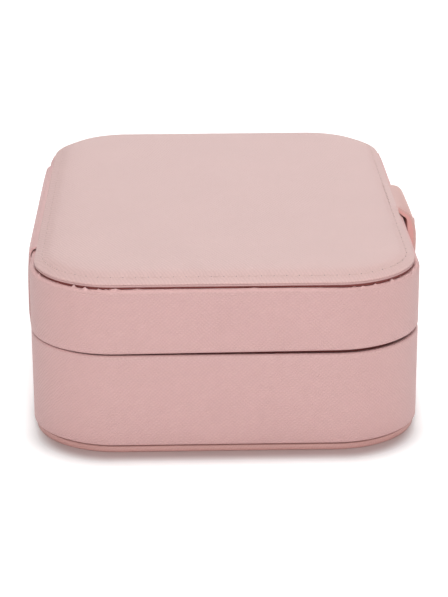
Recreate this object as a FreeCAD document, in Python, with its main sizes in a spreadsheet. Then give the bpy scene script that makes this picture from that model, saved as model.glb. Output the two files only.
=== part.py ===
import FreeCAD, Part
import math
import os
import Sketcher

# A leather jewellery case, in millimetres: a tray and a lid of board frames wrapped in leather,
# a padded top panel, a leather spine at the back and a press-stud strap at the front.
# +X is the long side, +Z is up, the strap is on the -Y side and the case stands on Z = 0.

SIZES = {
    # leather-covered outside
    "case_length": 165.0,  # over the leather sides, along X
    "case_width": 115.0,  # over the leather sides, along Y
    "corner_radius": 26.0,  # of the leather sides, seen from above
    "band_thick": 0.9,  # leather of the side bands
    "base_band_height": 27.9,  # tray's side band, bottom edge to rim
    "lid_band_height": 19.3,  # lid's side band, rim to top edge
    "parting_gap": 0.6,  # between the two rims when shut
    "panel_seam": 0.4,  # groove between a side band and its panel
    "rim_round": 0.8,  # outer edge of each parting rim
    "lid_shoulder_round": 1.4,  # upper outer edge of the lid's band
    # bottom panel
    "bottom_thick": 1.9,
    "bottom_inset": 0.8,  # of the bottom panel inside the side band
    "bottom_skin": 0.7,  # leather under the bottom board
    "board_border": 4.5,  # from a panel's edge in to its board
    # top panel
    "top_inset": 1.6,  # of the top panel inside the side band
    "backing_thick": 0.5,  # inner leather ply
    "border_thick": 0.7,  # outer leather ply along the stitched border
    "pad_rise": 2.7,  # padded field above the border
    "pad_border": 1.6,  # from the panel's edge in to the foot of the padded field
    "pad_round": 2.4,  # upper edge of the padded field
    "top_board_thick": 1.2,
    "top_foam_thick": 1.2,
    # frames, boards and linings
    "frame_wall": 2.5,
    "board_thick": 2.0,  # tray floor and lid deck
    "lining_thick": 1.0,  # velvet-covered card on the walls
    "lining_drop": 0.7,  # of a lining's edge behind its rim
    "floor_pad_thick": 2.0,
    "ceiling_pad_thick": 1.6,
    "glue_gap": 0.05,  # glue line between curved walls
    "loose_gap": 0.3,  # between neighbouring soft pieces
    # tray fittings
    "ring_bay_length": 53.0,  # ring cushion, along X
    "ring_card_thick": 1.5,
    "roll_pitch": 13.0,
    "roll_height": 12.0,
    "roll_gap": 0.6,  # slit between neighbouring rolls
    "roll_round": 5.6,
    "divider_thick": 3.0,
    "divider_height": 20.0,
    "divider_round": 1.2,
    "back_bay_width": 33.2,  # compartment behind the cross divider, along Y
    "right_bay_length": 49.2,  # compartment right of the short divider, along X
    # mirror in the lid
    "mirror_side_margin": 6.2,  # from the lining in to the mirror's frame, along X
    "mirror_end_margin": 9.2,  # from the lining in to the mirror's frame, along Y
    "mirror_pocket_gap": 8.5,  # between the mirror's frame and the pocket
    "mirror_thick": 1.6,
    "mirror_round": 6.0,
    "mirror_backing_thick": 0.8,
    "mirror_border": 4.0,  # leather frame outside the glass
    "mirror_lip": 1.0,  # frame's overlap on the glass
    "mirror_lip_thick": 0.6,
    # necklace hooks and pocket in the lid
    "fitting_side_margin": 9.7,  # from the lining in to the pocket, along X
    "fitting_end_margin": 8.7,  # from the lining in to the hook strip or the pocket, along Y
    "hook_strip_length": 56.0,
    "hook_strip_width": 12.0,
    "hook_strip_thick": 1.5,
    "hook_strip_round": 3.0,
    "hook_end_margin": 10.0,  # from the strip's ends in to the outer hooks
    "hook_flange_r": 3.2,
    "hook_flange_thick": 0.6,
    "hook_shank_r": 0.9,
    "hook_width": 2.4,
    "hook_thick": 1.0,
    "hook_drop": 5.6,
    "hook_reach": 4.6,
    "hook_tip": 2.6,
    "pocket_length": 60.0,
    "pocket_width": 46.0,
    "pocket_thick": 2.2,
    "pocket_skin": 0.8,
    "pocket_seam": 2.0,
    "pocket_round": 5.0,
    "hem_width": 5.0,
    "hem_thick": 0.9,
    # strap and press stud
    "strap_width": 25.6,
    "strap_ply": 0.9,
    "strap_rise": 1.0,  # of the strap's top above the panel's border
    "strap_stand": 2.16,  # from the side band to the strap's lining
    "strap_bend": 5.0,
    "strap_end_z": 8.0,
    "strap_end_round": 12.5,
    "shoulder_depth": 3.2,  # of the raised root in the top panel
    "snap_z": 17.5,
    "stud_flange_r": 4.0,
    "stud_flange_thick": 0.4,
    "stud_head_r": 2.2,
    "stud_neck_r": 1.7,
    "stud_height": 1.25,  # of the stud above its flange
    "post_r": 1.4,
    "post_head_r": 3.8,
    "post_head_thick": 0.7,
    "socket_r": 5.0,
    "socket_thick": 1.4,
    "snap_play": 0.3,  # between the two halves of the press stud
    "cap_r": 5.6,
    "cap_thick": 1.1,
    "shank_r": 1.3,
    "hole_clearance": 0.1,
    # spine and hinge tape
    "spine_width": 90.0,
    "spine_thick": 0.9,
    "spine_bulge": 2.3,  # of the spine's outer face over the lid's back
    "spine_bend": 3.2,
    "spine_loose_drop": 2.2,  # from the tray's rim down to the spine's free part
    "spine_glued_drop": 5.2,  # from the tray's rim down to its glued part
    "spine_foot_z": 0.7,
    "tape_width": 88.0,
    "tape_thick": 0.3,
    "tape_reach": 3.6,  # above and below the parting line
}

doc = FreeCAD.newDocument("JewelleryCase")
sheet = doc.addObject("Spreadsheet::Sheet", "Sizes")
for row, (name, number) in enumerate(SIZES.items(), start=1):
    sheet.set(f"A{row}", name)
    sheet.set(f"B{row}", str(number))
    sheet.setAlias(f"B{row}", name)
doc.recompute()


class Size:
    """A length: its number and the sheet expression that gives it."""

    def __init__(self, number, text):
        self.number = number
        self.text = text

    def __add__(self, other):
        other = as_size(other)
        return Size(self.number + other.number, f"({self.text} + {other.text})")

    def __sub__(self, other):
        other = as_size(other)
        return Size(self.number - other.number, f"({self.text} - {other.text})")

    def __mul__(self, other):
        other = as_size(other)
        return Size(self.number * other.number, f"({self.text} * {other.text})")

    def __truediv__(self, other):
        other = as_size(other)
        return Size(self.number / other.number, f"({self.text} / {other.text})")

    def __neg__(self):
        return Size(-self.number, f"(0 - {self.text})")


def as_size(thing):
    return thing if isinstance(thing, Size) else Size(float(thing), repr(float(thing)))


def root(size):
    return Size(math.sqrt(size.number), f"sqrt({size.text})")


class Named:
    """Every size of the sheet, by its alias."""


s = Named()
for name in SIZES:
    setattr(s, name, Size(float(sheet.get(name)), f"Sizes.{name}"))

ZERO = as_size(0.0)
TOLERANCE = 1e-4

# Levels along Z, from the ground up.
floor_z = s.bottom_thick
base_band_z = floor_z + s.panel_seam
base_rim_z = base_band_z + s.base_band_height
lid_rim_z = base_rim_z + s.parting_gap
lid_top_z = lid_rim_z + s.lid_band_height
panel_z = lid_top_z + s.panel_seam
skin_z = panel_z + s.backing_thick
border_z = skin_z + s.border_thick
hinge_z = (base_rim_z + lid_rim_z) / 2
floor_top_z = floor_z + s.board_thick
pad_floor_z = floor_top_z + s.floor_pad_thick
ceiling_board_z = panel_z - s.board_thick
ceiling_z = ceiling_board_z - s.ceiling_pad_thick
strap_top_z = border_z + s.strap_rise

# Insets from the outside of the leather sides.
frame_inset = s.band_thick + s.glue_gap
frame_inner = frame_inset + s.frame_wall
board_inset = frame_inner + s.glue_gap
lining_inner = board_inset + s.lining_thick
pad_inset = lining_inner + s.loose_gap

half_length = s.case_length / 2
half_width = s.case_width / 2
inner_half_length = half_length - pad_inset
inner_half_width = half_width - pad_inset
inner_radius = s.corner_radius - pad_inset


# ---- building blocks -------------------------------------------------------------------------


def new_body(label, x=ZERO, y=ZERO, z=ZERO):
    body = doc.addObject("PartDesign::Body", label)
    body.Label = label
    for axis, size in (("x", x), ("y", y), ("z", z)):
        body.setExpression(f"Placement.Base.{axis}", size.text)
    return body


def new_sketch(body, role, offset=ZERO):
    """An empty sketch on one of the body's own origin planes, raised by offset."""
    plane = next(f for f in body.Origin.OriginFeatures if f.Role == role)
    sketch = body.newObject("Sketcher::SketchObject", f"Sketch_in_{body.Name}")
    sketch.AttachmentSupport = [(plane, "")]
    sketch.MapMode = "FlatFace"
    sketch.setExpression("AttachmentOffset.Base.z", offset.text)
    return sketch


def dimension(sketch, size, kind, *where):
    index = sketch.addConstraint(Sketcher.Constraint(kind, *where, size.number))
    sketch.setExpression(f"Constraints[{index}]", size.text)


def add_rounded_rect(sketch, length, width, radius):
    """A rounded rectangle centred on the sketch's origin: four sides and four corner arcs."""
    first = sketch.GeometryCount
    a, b, r = length.number / 2, width.number / 2, radius.number
    ends = [(-a + r, -b, a - r, -b), (a, -b + r, a, b - r), (a - r, b, -a + r, b), (-a, b - r, -a, -b + r)]
    for x0, y0, x1, y1 in ends:
        sketch.addGeometry(Part.LineSegment(FreeCAD.Vector(x0, y0, 0), FreeCAD.Vector(x1, y1, 0)))
    centres = [(a - r, -b + r, 270), (a - r, b - r, 0), (-a + r, b - r, 90), (-a + r, -b + r, 180)]
    for x, y, start in centres:
        circle = Part.Circle(FreeCAD.Vector(x, y, 0), FreeCAD.Vector(0, 0, 1), r)
        sketch.addGeometry(Part.ArcOfCircle(circle, math.radians(start), math.radians(start + 90)))
    for i in range(4):
        side, corner, following = first + i, first + 4 + i, first + (i + 1) % 4
        sketch.addConstraint(Sketcher.Constraint("Tangent", side, 2, corner, 1))
        sketch.addConstraint(Sketcher.Constraint("Tangent", corner, 2, following, 1))
        sketch.addConstraint(Sketcher.Constraint("Vertical" if i % 2 else "Horizontal", side))
    for i in range(1, 4):
        sketch.addConstraint(Sketcher.Constraint("Equal", first + 4, first + 4 + i))
    sketch.addConstraint(Sketcher.Constraint("Symmetric", first, 1, first + 2, 1, -1, 1))
    dimension(sketch, length, "DistanceX", first + 3, 1, first + 1, 1)
    dimension(sketch, width, "DistanceY", first, 1, first + 2, 1)
    dimension(sketch, radius, "Radius", first + 4)


def add_case_outline(sketch, inset):
    """The case's outline, inset from the outside of its leather sides."""
    add_rounded_rect(sketch, s.case_length - inset * 2, s.case_width - inset * 2, s.corner_radius - inset)


def add_polygon(sketch, corners):
    """A closed outline through corners, each placed from the sketch's origin."""
    points = [FreeCAD.Vector(x.number, y.number, 0) for x, y in corners]
    for i, point in enumerate(points):
        sketch.addGeometry(Part.LineSegment(point, points[(i + 1) % len(points)]))
    for i, (x, y) in enumerate(corners):
        sketch.addConstraint(Sketcher.Constraint("Coincident", i, 2, (i + 1) % len(points), 1))
        dimension(sketch, x, "DistanceX", -1, 1, i, 1)
        dimension(sketch, y, "DistanceY", -1, 1, i, 1)


def add_circle(sketch, radius, x=ZERO, y=ZERO):
    centre = FreeCAD.Vector(x.number, y.number, 0)
    index = sketch.addGeometry(Part.Circle(centre, FreeCAD.Vector(0, 0, 1), radius.number))
    dimension(sketch, radius, "Radius", index)
    dimension(sketch, x, "DistanceX", -1, 1, index, 3)
    dimension(sketch, y, "DistanceY", -1, 1, index, 3)


def rectangle(x0, x1, y0, y1):
    return [(x0, y0), (x1, y0), (x1, y1), (x0, y1)]


def add_feature(body, sketch, kind, length, side="One side", reverse=False):
    feature = body.newObject(f"PartDesign::{kind}", f"{kind}_in_{body.Name}")
    feature.Profile = sketch
    feature.SideType = side
    feature.Reversed = reverse
    feature.setExpression("Length", length.text)
    return feature


def pad(body, sketch, length, side="One side"):
    return add_feature(body, sketch, "Pad", length, side)


def pocket(body, sketch, length, reverse=False):
    """A cut that must take material away."""
    doc.recompute()
    before = body.Shape.Volume
    feature = add_feature(body, sketch, "Pocket", length, reverse=reverse)
    doc.recompute()
    if body.Shape.Volume > before - TOLERANCE:
        raise RuntimeError(f"{feature.Name} cuts nothing")
    return feature


def revolve(body, sketch, axis):
    feature = body.newObject("PartDesign::Revolution", f"Turned_in_{body.Name}")
    feature.Profile = sketch
    feature.ReferenceAxis = (sketch, [axis])
    feature.Angle = 360.0
    return feature


def fillet(body, radius, chosen):
    """Round the edges for which chosen(edge) is true. A radius stays a little under its wall."""
    doc.recompute()
    tip = body.Tip
    names = [f"Edge{i}" for i, edge in enumerate(tip.Shape.Edges, start=1) if chosen(edge)]
    if not names:
        raise RuntimeError(f"{body.Label} has no such edge to round")
    feature = body.newObject("PartDesign::Fillet", f"Round_in_{body.Name}")
    feature.Base = (tip, names)
    feature.setExpression("Radius", radius.text)
    return feature


def level_edge(z, reach):
    """Chooser for the edges at height z that go round outside the middle by more than reach."""

    def chosen(edge):
        box = edge.BoundBox
        flat = box.ZLength < TOLERANCE and abs(box.ZMin - z.number) < TOLERANCE
        far_x = max(abs(box.XMin), abs(box.XMax)) > reach[0].number - TOLERANCE
        far_y = max(abs(box.YMin), abs(box.YMax)) > reach[1].number - TOLERANCE
        return flat and (far_x or far_y)

    return chosen


def long_edge_at(direction, first, second):
    """Chooser for straight edges along direction that pass through the place (first, second)."""
    others = [axis for axis in "XYZ" if axis != direction]

    def chosen(edge):
        box = edge.BoundBox
        middle = box.Center
        place = [getattr(middle, axis.lower()) for axis in others]
        thin = all(getattr(box, f"{axis}Length") < TOLERANCE for axis in others)
        near = abs(place[0] - first.number) < TOLERANCE and abs(place[1] - second.number) < TOLERANCE
        return thin and near

    return chosen


def any_of(*choosers):
    return lambda edge: any(chosen(edge) for chosen in choosers)


def outer_edge(z, inset=ZERO):
    return level_edge(z, (half_length - inset, half_width - inset))


def ring(label, inset, wall, height, z):
    """A wall of one thickness that follows the case's outline."""
    body = new_body(label, z=z)
    sketch = new_sketch(body, "XY_Plane")
    add_case_outline(sketch, inset)
    add_case_outline(sketch, inset + wall)
    pad(body, sketch, height)
    return body


def plate(label, inset, thick, z):
    """A sheet that follows the case's outline."""
    body = new_body(label, z=z)
    sketch = new_sketch(body, "XY_Plane")
    add_case_outline(sketch, inset)
    pad(body, sketch, thick)
    return body


def rounded_slab(label, length, width, radius, thick, x=ZERO, y=ZERO, z=ZERO):
    body = new_body(label, x, y, z)
    sketch = new_sketch(body, "XY_Plane")
    add_rounded_rect(sketch, length, width, radius)
    pad(body, sketch, thick)
    return body


def bent_strip(label, outline, width):
    """A strip of leather or cloth: its section in the YZ plane, carried along X."""
    body = new_body(label)
    sketch = new_sketch(body, "YZ_Plane")
    add_polygon(sketch, outline)
    pad(body, sketch, width, "Symmetric")
    return body


def turned(label, outline, y, z):
    """A round fitting on an axis along Y: outline holds (radius, distance outwards) corners."""
    body = new_body(label, y=y, z=z)
    sketch = new_sketch(body, "XY_Plane")
    add_polygon(sketch, outline)
    revolve(body, sketch, "V_Axis")
    return body


def front_hole(body, radius, z, reach, start=ZERO):
    """A round hole through the front wall of a body, from start to reach outwards."""
    sketch = new_sketch(body, "XZ_Plane", start)
    add_circle(sketch, radius, y=z)
    pocket(body, sketch, reach, reverse=True)


# ---- bottom panel ----------------------------------------------------------------------------


def make_bottom_panel():
    body = plate("bottom_panel", s.bottom_inset, s.bottom_thick, ZERO)
    sketch = new_sketch(body, "XY_Plane", s.bottom_thick)
    add_case_outline(sketch, s.bottom_inset + s.board_border)
    pocket(body, sketch, s.bottom_thick - s.bottom_skin)
    fillet(body, s.rim_round, outer_edge(ZERO, s.bottom_inset))
    board_inset_here = s.bottom_inset + s.board_border + s.glue_gap
    plate("bottom_board", board_inset_here, s.bottom_thick - s.bottom_skin, s.bottom_skin)


# ---- tray: frame, floor, leather band and linings --------------------------------------------


def make_tray():
    plate("base_floor", board_inset, s.board_thick, floor_z)
    frame = ring("base_frame", frame_inset, s.frame_wall, s.base_band_height - frame_inset, base_band_z)
    front_hole(frame, s.post_r + s.hole_clearance, s.snap_z - base_band_z, half_width)
    head_room = half_width - frame_inner + s.post_head_thick + s.hole_clearance
    front_hole(frame, s.post_head_r + s.hole_clearance, s.snap_z - base_band_z, head_room)

    band = ring("base_side_band", ZERO, s.band_thick, s.base_band_height, base_band_z)
    add_lip(band, s.base_band_height - s.band_thick)
    front_hole(band, s.post_r + s.hole_clearance, s.snap_z - base_band_z, half_width + s.band_thick)
    fillet(band, s.rim_round, outer_edge(s.base_band_height))

    lining_height = base_rim_z - s.lining_drop - floor_top_z
    ring("base_wall_lining", board_inset, s.lining_thick, lining_height, floor_top_z)
    plate("base_floor_pad", pad_inset, s.floor_pad_thick, floor_top_z)


def add_lip(band, z):
    """The part of a leather band that is turned over the edge of its frame."""
    sketch = new_sketch(band, "XY_Plane", z)
    add_case_outline(sketch, ZERO)
    add_case_outline(sketch, frame_inner)
    pad(band, sketch, s.band_thick)


# ---- tray fittings: ring rolls and dividers --------------------------------------------------

bay_end_x = s.ring_bay_length - inner_half_length
long_divider_x = bay_end_x + s.loose_gap + s.divider_thick / 2
ROLLS = int((inner_half_width.number * 2 + s.roll_gap.number) // s.roll_pitch.number)


def wall_x_at(y):
    """How far the inside reaches along X at distance y from the middle, in the rounded corner."""
    rise = y - (inner_half_width - inner_radius)
    if rise.number <= 0:
        return inner_half_length
    return inner_half_length - inner_radius + root(inner_radius * inner_radius - rise * rise)


def make_ring_bay():
    card = plate("ring_card", pad_inset, s.ring_card_thick, pad_floor_z)
    sketch = new_sketch(card, "XY_Plane", s.ring_card_thick)
    add_polygon(sketch, rectangle(bay_end_x, half_length, -half_width, half_width))
    pocket(card, sketch, s.ring_card_thick)
    for i in range(ROLLS):
        make_ring_roll(f"ring_roll_{i + 1}", s.roll_pitch * (i - (ROLLS - 1) / 2))


def make_ring_roll(label, y):
    """A foam roll with a flat underside, as long as the rounded corner lets it be."""
    half = (s.roll_pitch - s.roll_gap) / 2
    far_y = y + half if y.number > 0 else half - y
    start_x = -wall_x_at(far_y)
    body = new_body(label, start_x, y, pad_floor_z + s.ring_card_thick)
    sketch = new_sketch(body, "YZ_Plane")
    add_polygon(sketch, rectangle(-half, half, ZERO, s.roll_height))
    pad(body, sketch, bay_end_x - start_x)
    upper = [long_edge_at("X", side, s.roll_height) for side in (-half, half)]
    fillet(body, s.roll_round, any_of(*upper))


def make_dividers():
    half = s.divider_thick / 2
    right_x = long_divider_x + half + s.loose_gap
    front = s.loose_gap - inner_half_width
    back = inner_half_width - s.loose_gap
    make_divider("long_divider", long_divider_x - half, long_divider_x + half, front, back, "Y")
    cross_y = inner_half_width - s.back_bay_width
    cross = (cross_y - s.divider_thick, cross_y)
    make_divider("cross_divider", right_x, inner_half_length - s.loose_gap, *cross, "X")
    short_x = inner_half_length - s.right_bay_length
    short = (short_x - s.divider_thick, short_x)
    make_divider("short_divider", *short, front, cross[0] - s.loose_gap, "Y")


def make_divider(label, x0, x1, y0, y1, along):
    """A velvet-covered board on the floor pad, with its upper long edges rounded."""
    body = new_body(label, z=pad_floor_z)
    sketch = new_sketch(body, "XY_Plane")
    add_polygon(sketch, rectangle(x0, x1, y0, y1))
    pad(body, sketch, s.divider_height)
    sides = (x0, x1) if along == "Y" else (y0, y1)
    fillet(body, s.divider_round, any_of(*[long_edge_at(along, side, s.divider_height) for side in sides]))


# ---- lid: deck, frame, leather band and linings ----------------------------------------------


def make_lid():
    plate("lid_deck", board_inset, s.board_thick, ceiling_board_z)
    frame_height = s.lid_band_height - frame_inset * 2
    ring("lid_frame", frame_inset, s.frame_wall, frame_height, lid_rim_z + frame_inset)

    band = ring("lid_side_band", ZERO, s.band_thick, s.lid_band_height, lid_rim_z)
    add_lip(band, ZERO)
    add_lip(band, s.lid_band_height - s.band_thick)
    fillet(band, s.rim_round, outer_edge(ZERO))
    fillet(band, s.lid_shoulder_round, outer_edge(s.lid_band_height))

    lining_height = ceiling_board_z - lid_rim_z - s.lining_drop
    ring("lid_wall_lining", board_inset, s.lining_thick, lining_height, lid_rim_z + s.lining_drop)
    plate("lid_ceiling_pad", pad_inset, s.ceiling_pad_thick, ceiling_z)


# ---- top panel -------------------------------------------------------------------------------


def make_top_panel():
    plate("top_backing", s.top_inset, s.backing_thick, panel_z)
    board_inset_here = s.top_inset + s.board_border
    plate("top_board", board_inset_here + s.glue_gap, s.top_board_thick, skin_z)
    foam_z = skin_z + s.top_board_thick
    plate("top_foam", board_inset_here + s.glue_gap, s.top_foam_thick, foam_z)

    body = plate("top_panel", s.top_inset, s.border_thick, skin_z)
    field = new_sketch(body, "XY_Plane", s.border_thick)
    add_case_outline(field, s.top_inset + s.pad_border)
    pad(body, field, s.pad_rise)
    pad_top = s.border_thick + s.pad_rise
    fillet(body, s.pad_round, outer_edge(pad_top, s.top_inset + s.pad_border))
    add_strap_shoulder(body)
    under = new_sketch(body, "XY_Plane")
    add_case_outline(under, board_inset_here)
    pocket(body, under, s.top_board_thick + s.top_foam_thick, reverse=True)


def add_strap_shoulder(body):
    """The raised root that the strap grows out of, at the panel's front edge."""
    sketch = new_sketch(body, "XY_Plane", s.border_thick)
    front = s.top_inset - half_width
    half = s.strap_width / 2
    add_polygon(sketch, rectangle(-half, half, front, front + s.shoulder_depth))
    pad(body, sketch, s.strap_rise)


# ---- mirror, necklace hooks and pocket inside the lid ----------------------------------------


fitting_x = inner_half_length - s.fitting_side_margin - s.pocket_length / 2
mirror_end_x = fitting_x - s.pocket_length / 2 - s.mirror_pocket_gap


def make_mirror():
    """The mirror fills the lid from the lining to the pocket."""
    start_x = s.mirror_side_margin - inner_half_length
    middle_x = (start_x + mirror_end_x) / 2
    outer = (mirror_end_x - start_x, (inner_half_width - s.mirror_end_margin) * 2)
    outer_round = s.mirror_round + s.mirror_border
    backing_z = ceiling_z - s.mirror_backing_thick
    glass_z = backing_z - s.mirror_thick
    lip_z = glass_z - s.mirror_lip_thick
    rounded_slab("mirror_backing", *outer, outer_round, s.mirror_backing_thick, middle_x, z=backing_z)
    glass_size = (outer[0] - s.mirror_border * 2, outer[1] - s.mirror_border * 2, s.mirror_round)
    rounded_slab("mirror_glass", *glass_size, s.mirror_thick, middle_x, z=glass_z)

    frame = new_body("mirror_frame", middle_x, z=lip_z)
    lip = new_sketch(frame, "XY_Plane")
    add_rounded_rect(lip, *outer, outer_round)
    sight = [size - s.mirror_lip * 2 for size in glass_size[:2]]
    add_rounded_rect(lip, *sight, s.mirror_round - s.mirror_lip)
    pad(frame, lip, s.mirror_lip_thick)
    border = new_sketch(frame, "XY_Plane", s.mirror_lip_thick)
    add_rounded_rect(border, *outer, outer_round)
    rebate = [size + s.hole_clearance * 2 for size in glass_size[:2]]
    add_rounded_rect(border, *rebate, s.mirror_round + s.hole_clearance)
    pad(frame, border, s.mirror_thick)
    reach = (outer[0] / 2, outer[1] / 2)
    fillet(frame, s.rim_round, level_edge(ZERO, reach))


HOOKS = 3
hook_face_z = ceiling_z - s.hook_strip_thick
hook_strip_y = s.fitting_end_margin + s.hook_strip_width / 2 - inner_half_width


def make_hook_strip():
    strip_size = (s.hook_strip_length, s.hook_strip_width, s.hook_strip_round)
    place = (fitting_x, hook_strip_y, hook_face_z)
    strip = rounded_slab("hook_strip", *strip_size, s.hook_strip_thick, *place)
    holes = new_sketch(strip, "XY_Plane")
    pitch = (s.hook_strip_length - s.hook_end_margin * 2) / (HOOKS - 1)
    places = [pitch * (i - (HOOKS - 1) / 2) for i in range(HOOKS)]
    for x in places:
        add_circle(holes, s.hook_shank_r + s.hole_clearance, x)
    pocket(strip, holes, s.hook_strip_thick, reverse=True)
    for i, x in enumerate(places, start=1):
        make_hook(f"necklace_hook_{i}", fitting_x + x)


def make_hook(label, x):
    """A flat brass hook on a round flange. It hangs down here and opens to the front."""
    body = new_body(label, x, hook_strip_y, hook_face_z)
    flange = new_sketch(body, "XY_Plane", -s.hook_flange_thick)
    add_circle(flange, s.hook_flange_r)
    pad(body, flange, s.hook_flange_thick)
    shank = new_sketch(body, "XY_Plane")
    add_circle(shank, s.hook_shank_r)
    pad(body, shank, s.hook_strip_thick)
    bar = new_sketch(body, "YZ_Plane")
    half = s.hook_thick / 2
    root_z = -s.hook_flange_thick
    low = root_z - s.hook_drop
    tip_y = -half - s.hook_reach
    corners = [(half, root_z), (-half, root_z), (-half, low + s.hook_thick)]
    corners += [(tip_y + s.hook_thick, low + s.hook_thick), (tip_y + s.hook_thick, low + s.hook_tip)]
    corners += [(tip_y, low + s.hook_tip), (tip_y, low), (half, low)]
    add_polygon(bar, corners)
    pad(body, bar, s.hook_width, "Symmetric")
    bends = [long_edge_at("X", tip_y, low), long_edge_at("X", half, low)]
    fillet(body, s.hook_thick, any_of(*bends))


def make_pocket():
    """A flat fabric pocket sewn on three sides, with an elastic hem along its mouth."""
    pocket_z = ceiling_z - s.pocket_thick
    pocket_y = inner_half_width - s.fitting_end_margin - s.pocket_width / 2
    outer = (s.pocket_length, s.pocket_width, s.pocket_round)
    body = rounded_slab("pocket_panel", *outer, s.pocket_thick, fitting_x, pocket_y, pocket_z)
    inside = new_sketch(body, "XY_Plane", s.pocket_thick)
    half_x = s.pocket_length / 2 - s.pocket_seam
    half_y = s.pocket_width / 2
    add_polygon(inside, rectangle(-half_x, half_x, -half_y - s.pocket_seam, half_y - s.pocket_seam))
    pocket(body, inside, s.pocket_thick - s.pocket_skin)
    hem_y = pocket_y - half_y + s.hem_width / 2 + s.loose_gap
    hem_size = (half_x * 2 - s.pocket_round, s.hem_width, s.hem_width / 3)
    rounded_slab("pocket_hem", *hem_size, s.hem_thick, fitting_x, hem_y, pocket_z - s.hem_thick)


# ---- strap and press stud --------------------------------------------------------------------

strap_root_y = s.top_inset - half_width
strap_inner_y = -half_width - s.strap_stand


def make_strap_ply(label, depth, hole_r):
    """One ply of the strap, its outer face depth inside the strap's own outer face."""
    outer_y = strap_inner_y - s.strap_ply * 2 + depth
    inner_y = outer_y + s.strap_ply
    outer_z = strap_top_z - depth
    inner_z = outer_z - s.strap_ply
    outline = [(strap_root_y, outer_z), (outer_y, outer_z), (outer_y, s.strap_end_z)]
    outline += [(inner_y, s.strap_end_z), (inner_y, inner_z), (strap_root_y, inner_z)]
    body = bent_strip(label, outline, s.strap_width)
    front_hole(body, hole_r, s.snap_z, -outer_y + s.hole_clearance)
    fillet(body, s.strap_bend - depth, long_edge_at("X", outer_y, outer_z))
    fillet(body, s.strap_bend - depth - s.strap_ply, long_edge_at("X", inner_y, inner_z))
    half = s.strap_width / 2
    corners = [long_edge_at("Y", side, s.strap_end_z) for side in (-half, half)]
    fillet(body, s.strap_end_round, any_of(*corners))


def make_strap():
    hole = s.shank_r + s.hole_clearance
    make_strap_ply("strap_outer", ZERO, hole)
    make_strap_ply("strap_lining", s.strap_ply, hole)
    make_cap()
    make_socket()


def make_cap():
    """Domed cap on the strap's face, with a shank through both plies."""
    shank_top = -s.strap_ply * 2
    outline = [(ZERO, shank_top), (s.shank_r, shank_top), (s.shank_r, ZERO), (s.cap_r, ZERO)]
    outline += [(s.cap_r, s.cap_thick / 2), (s.cap_r / 2, s.cap_thick), (ZERO, s.cap_thick)]
    mirrored = [(x, -y) for x, y in outline]
    turned("snap_cap", mirrored, strap_inner_y - s.strap_ply * 2, s.snap_z)


def make_socket():
    """Brass ring on the strap's lining, open towards the stud."""
    cavity_r = s.stud_head_r + s.snap_play
    floor_thick = s.socket_thick / 5
    outline = [(ZERO, ZERO), (s.socket_r, ZERO), (s.socket_r, s.socket_thick)]
    outline += [(cavity_r, s.socket_thick), (cavity_r, floor_thick), (ZERO, floor_thick)]
    turned("snap_socket", outline, strap_inner_y, s.snap_z)


def make_stud():
    """Stud on the tray's front wall and the rivet that holds it from behind."""
    flange, height = s.stud_flange_thick, s.stud_flange_thick + s.stud_height
    outline = [(ZERO, ZERO), (s.stud_flange_r, ZERO), (s.stud_flange_r, -flange), (s.stud_neck_r, -flange)]
    outline += [(s.stud_neck_r, -flange - s.stud_height / 2), (s.stud_head_r, -flange - s.stud_height * 0.7)]
    outline += [(s.stud_neck_r, -height), (ZERO, -height)]
    turned("snap_stud", outline, -half_width, s.snap_z)

    wall = frame_inner
    head_start = wall - s.post_head_thick
    outline = [(ZERO, ZERO), (s.post_r, ZERO), (s.post_r, head_start), (s.post_head_r, head_start)]
    outline += [(s.post_head_r, wall), (ZERO, wall)]
    turned("snap_post", outline, -half_width, s.snap_z)


# ---- spine and hinge tape --------------------------------------------------------------------


def make_spine():
    """One leather flap: free over the lid's back, glued down the tray's back to the bottom panel."""
    start_y = half_width - s.top_inset
    outer_y = half_width + s.spine_bulge
    glued_y = half_width + s.spine_thick
    foot_y = half_width - s.bottom_inset
    loose_z = base_rim_z - s.spine_loose_drop
    glued_z = base_rim_z - s.spine_glued_drop
    top_z = border_z
    t = s.spine_thick
    outline = [(start_y, top_z), (outer_y, top_z), (outer_y, loose_z), (glued_y, glued_z)]
    outline += [(glued_y, s.spine_foot_z), (foot_y, s.spine_foot_z), (foot_y, s.spine_foot_z + t)]
    outline += [(half_width, s.spine_foot_z + t), (half_width, glued_z)]
    outline += [(outer_y - t, loose_z), (outer_y - t, top_z - t), (start_y, top_z - t)]
    body = bent_strip("spine", outline, s.spine_width)
    fillet(body, s.spine_bend, long_edge_at("X", outer_y, top_z))
    fillet(body, s.spine_bend - t, long_edge_at("X", outer_y - t, top_z - t))


def make_hinge_tape():
    low, high = hinge_z - s.tape_reach, hinge_z + s.tape_reach
    section = rectangle(half_width, half_width + s.tape_thick, low, high)
    bent_strip("hinge_tape", section, s.tape_width)


# ---- the whole case --------------------------------------------------------------------------


def check_document():
    doc.recompute()
    for thing in doc.Objects:
        if "Invalid" in thing.State or "Error" in thing.State:
            raise RuntimeError(f"{thing.Name} is {thing.State}")


def write_parts():
    os.makedirs("parts", exist_ok=True)
    bodies = [thing for thing in doc.Objects if thing.TypeId == "PartDesign::Body"]
    for body in bodies:
        if body.Shape.isNull() or not body.Shape.isValid():
            raise RuntimeError(f"{body.Label} has no valid shape")
    for body in bodies:
        body.Shape.exportStep(os.path.join("parts", f"{body.Label}.step"))
    print(len(bodies), "parts")


make_bottom_panel()
make_tray()
make_ring_bay()
make_dividers()
make_lid()
make_top_panel()
make_mirror()
make_hook_strip()
make_pocket()
make_strap()
make_stud()
make_spine()
make_hinge_tape()
check_document()
write_parts()
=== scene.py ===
import math

import bpy
import numpy as np
from mathutils import Matrix, Vector


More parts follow.
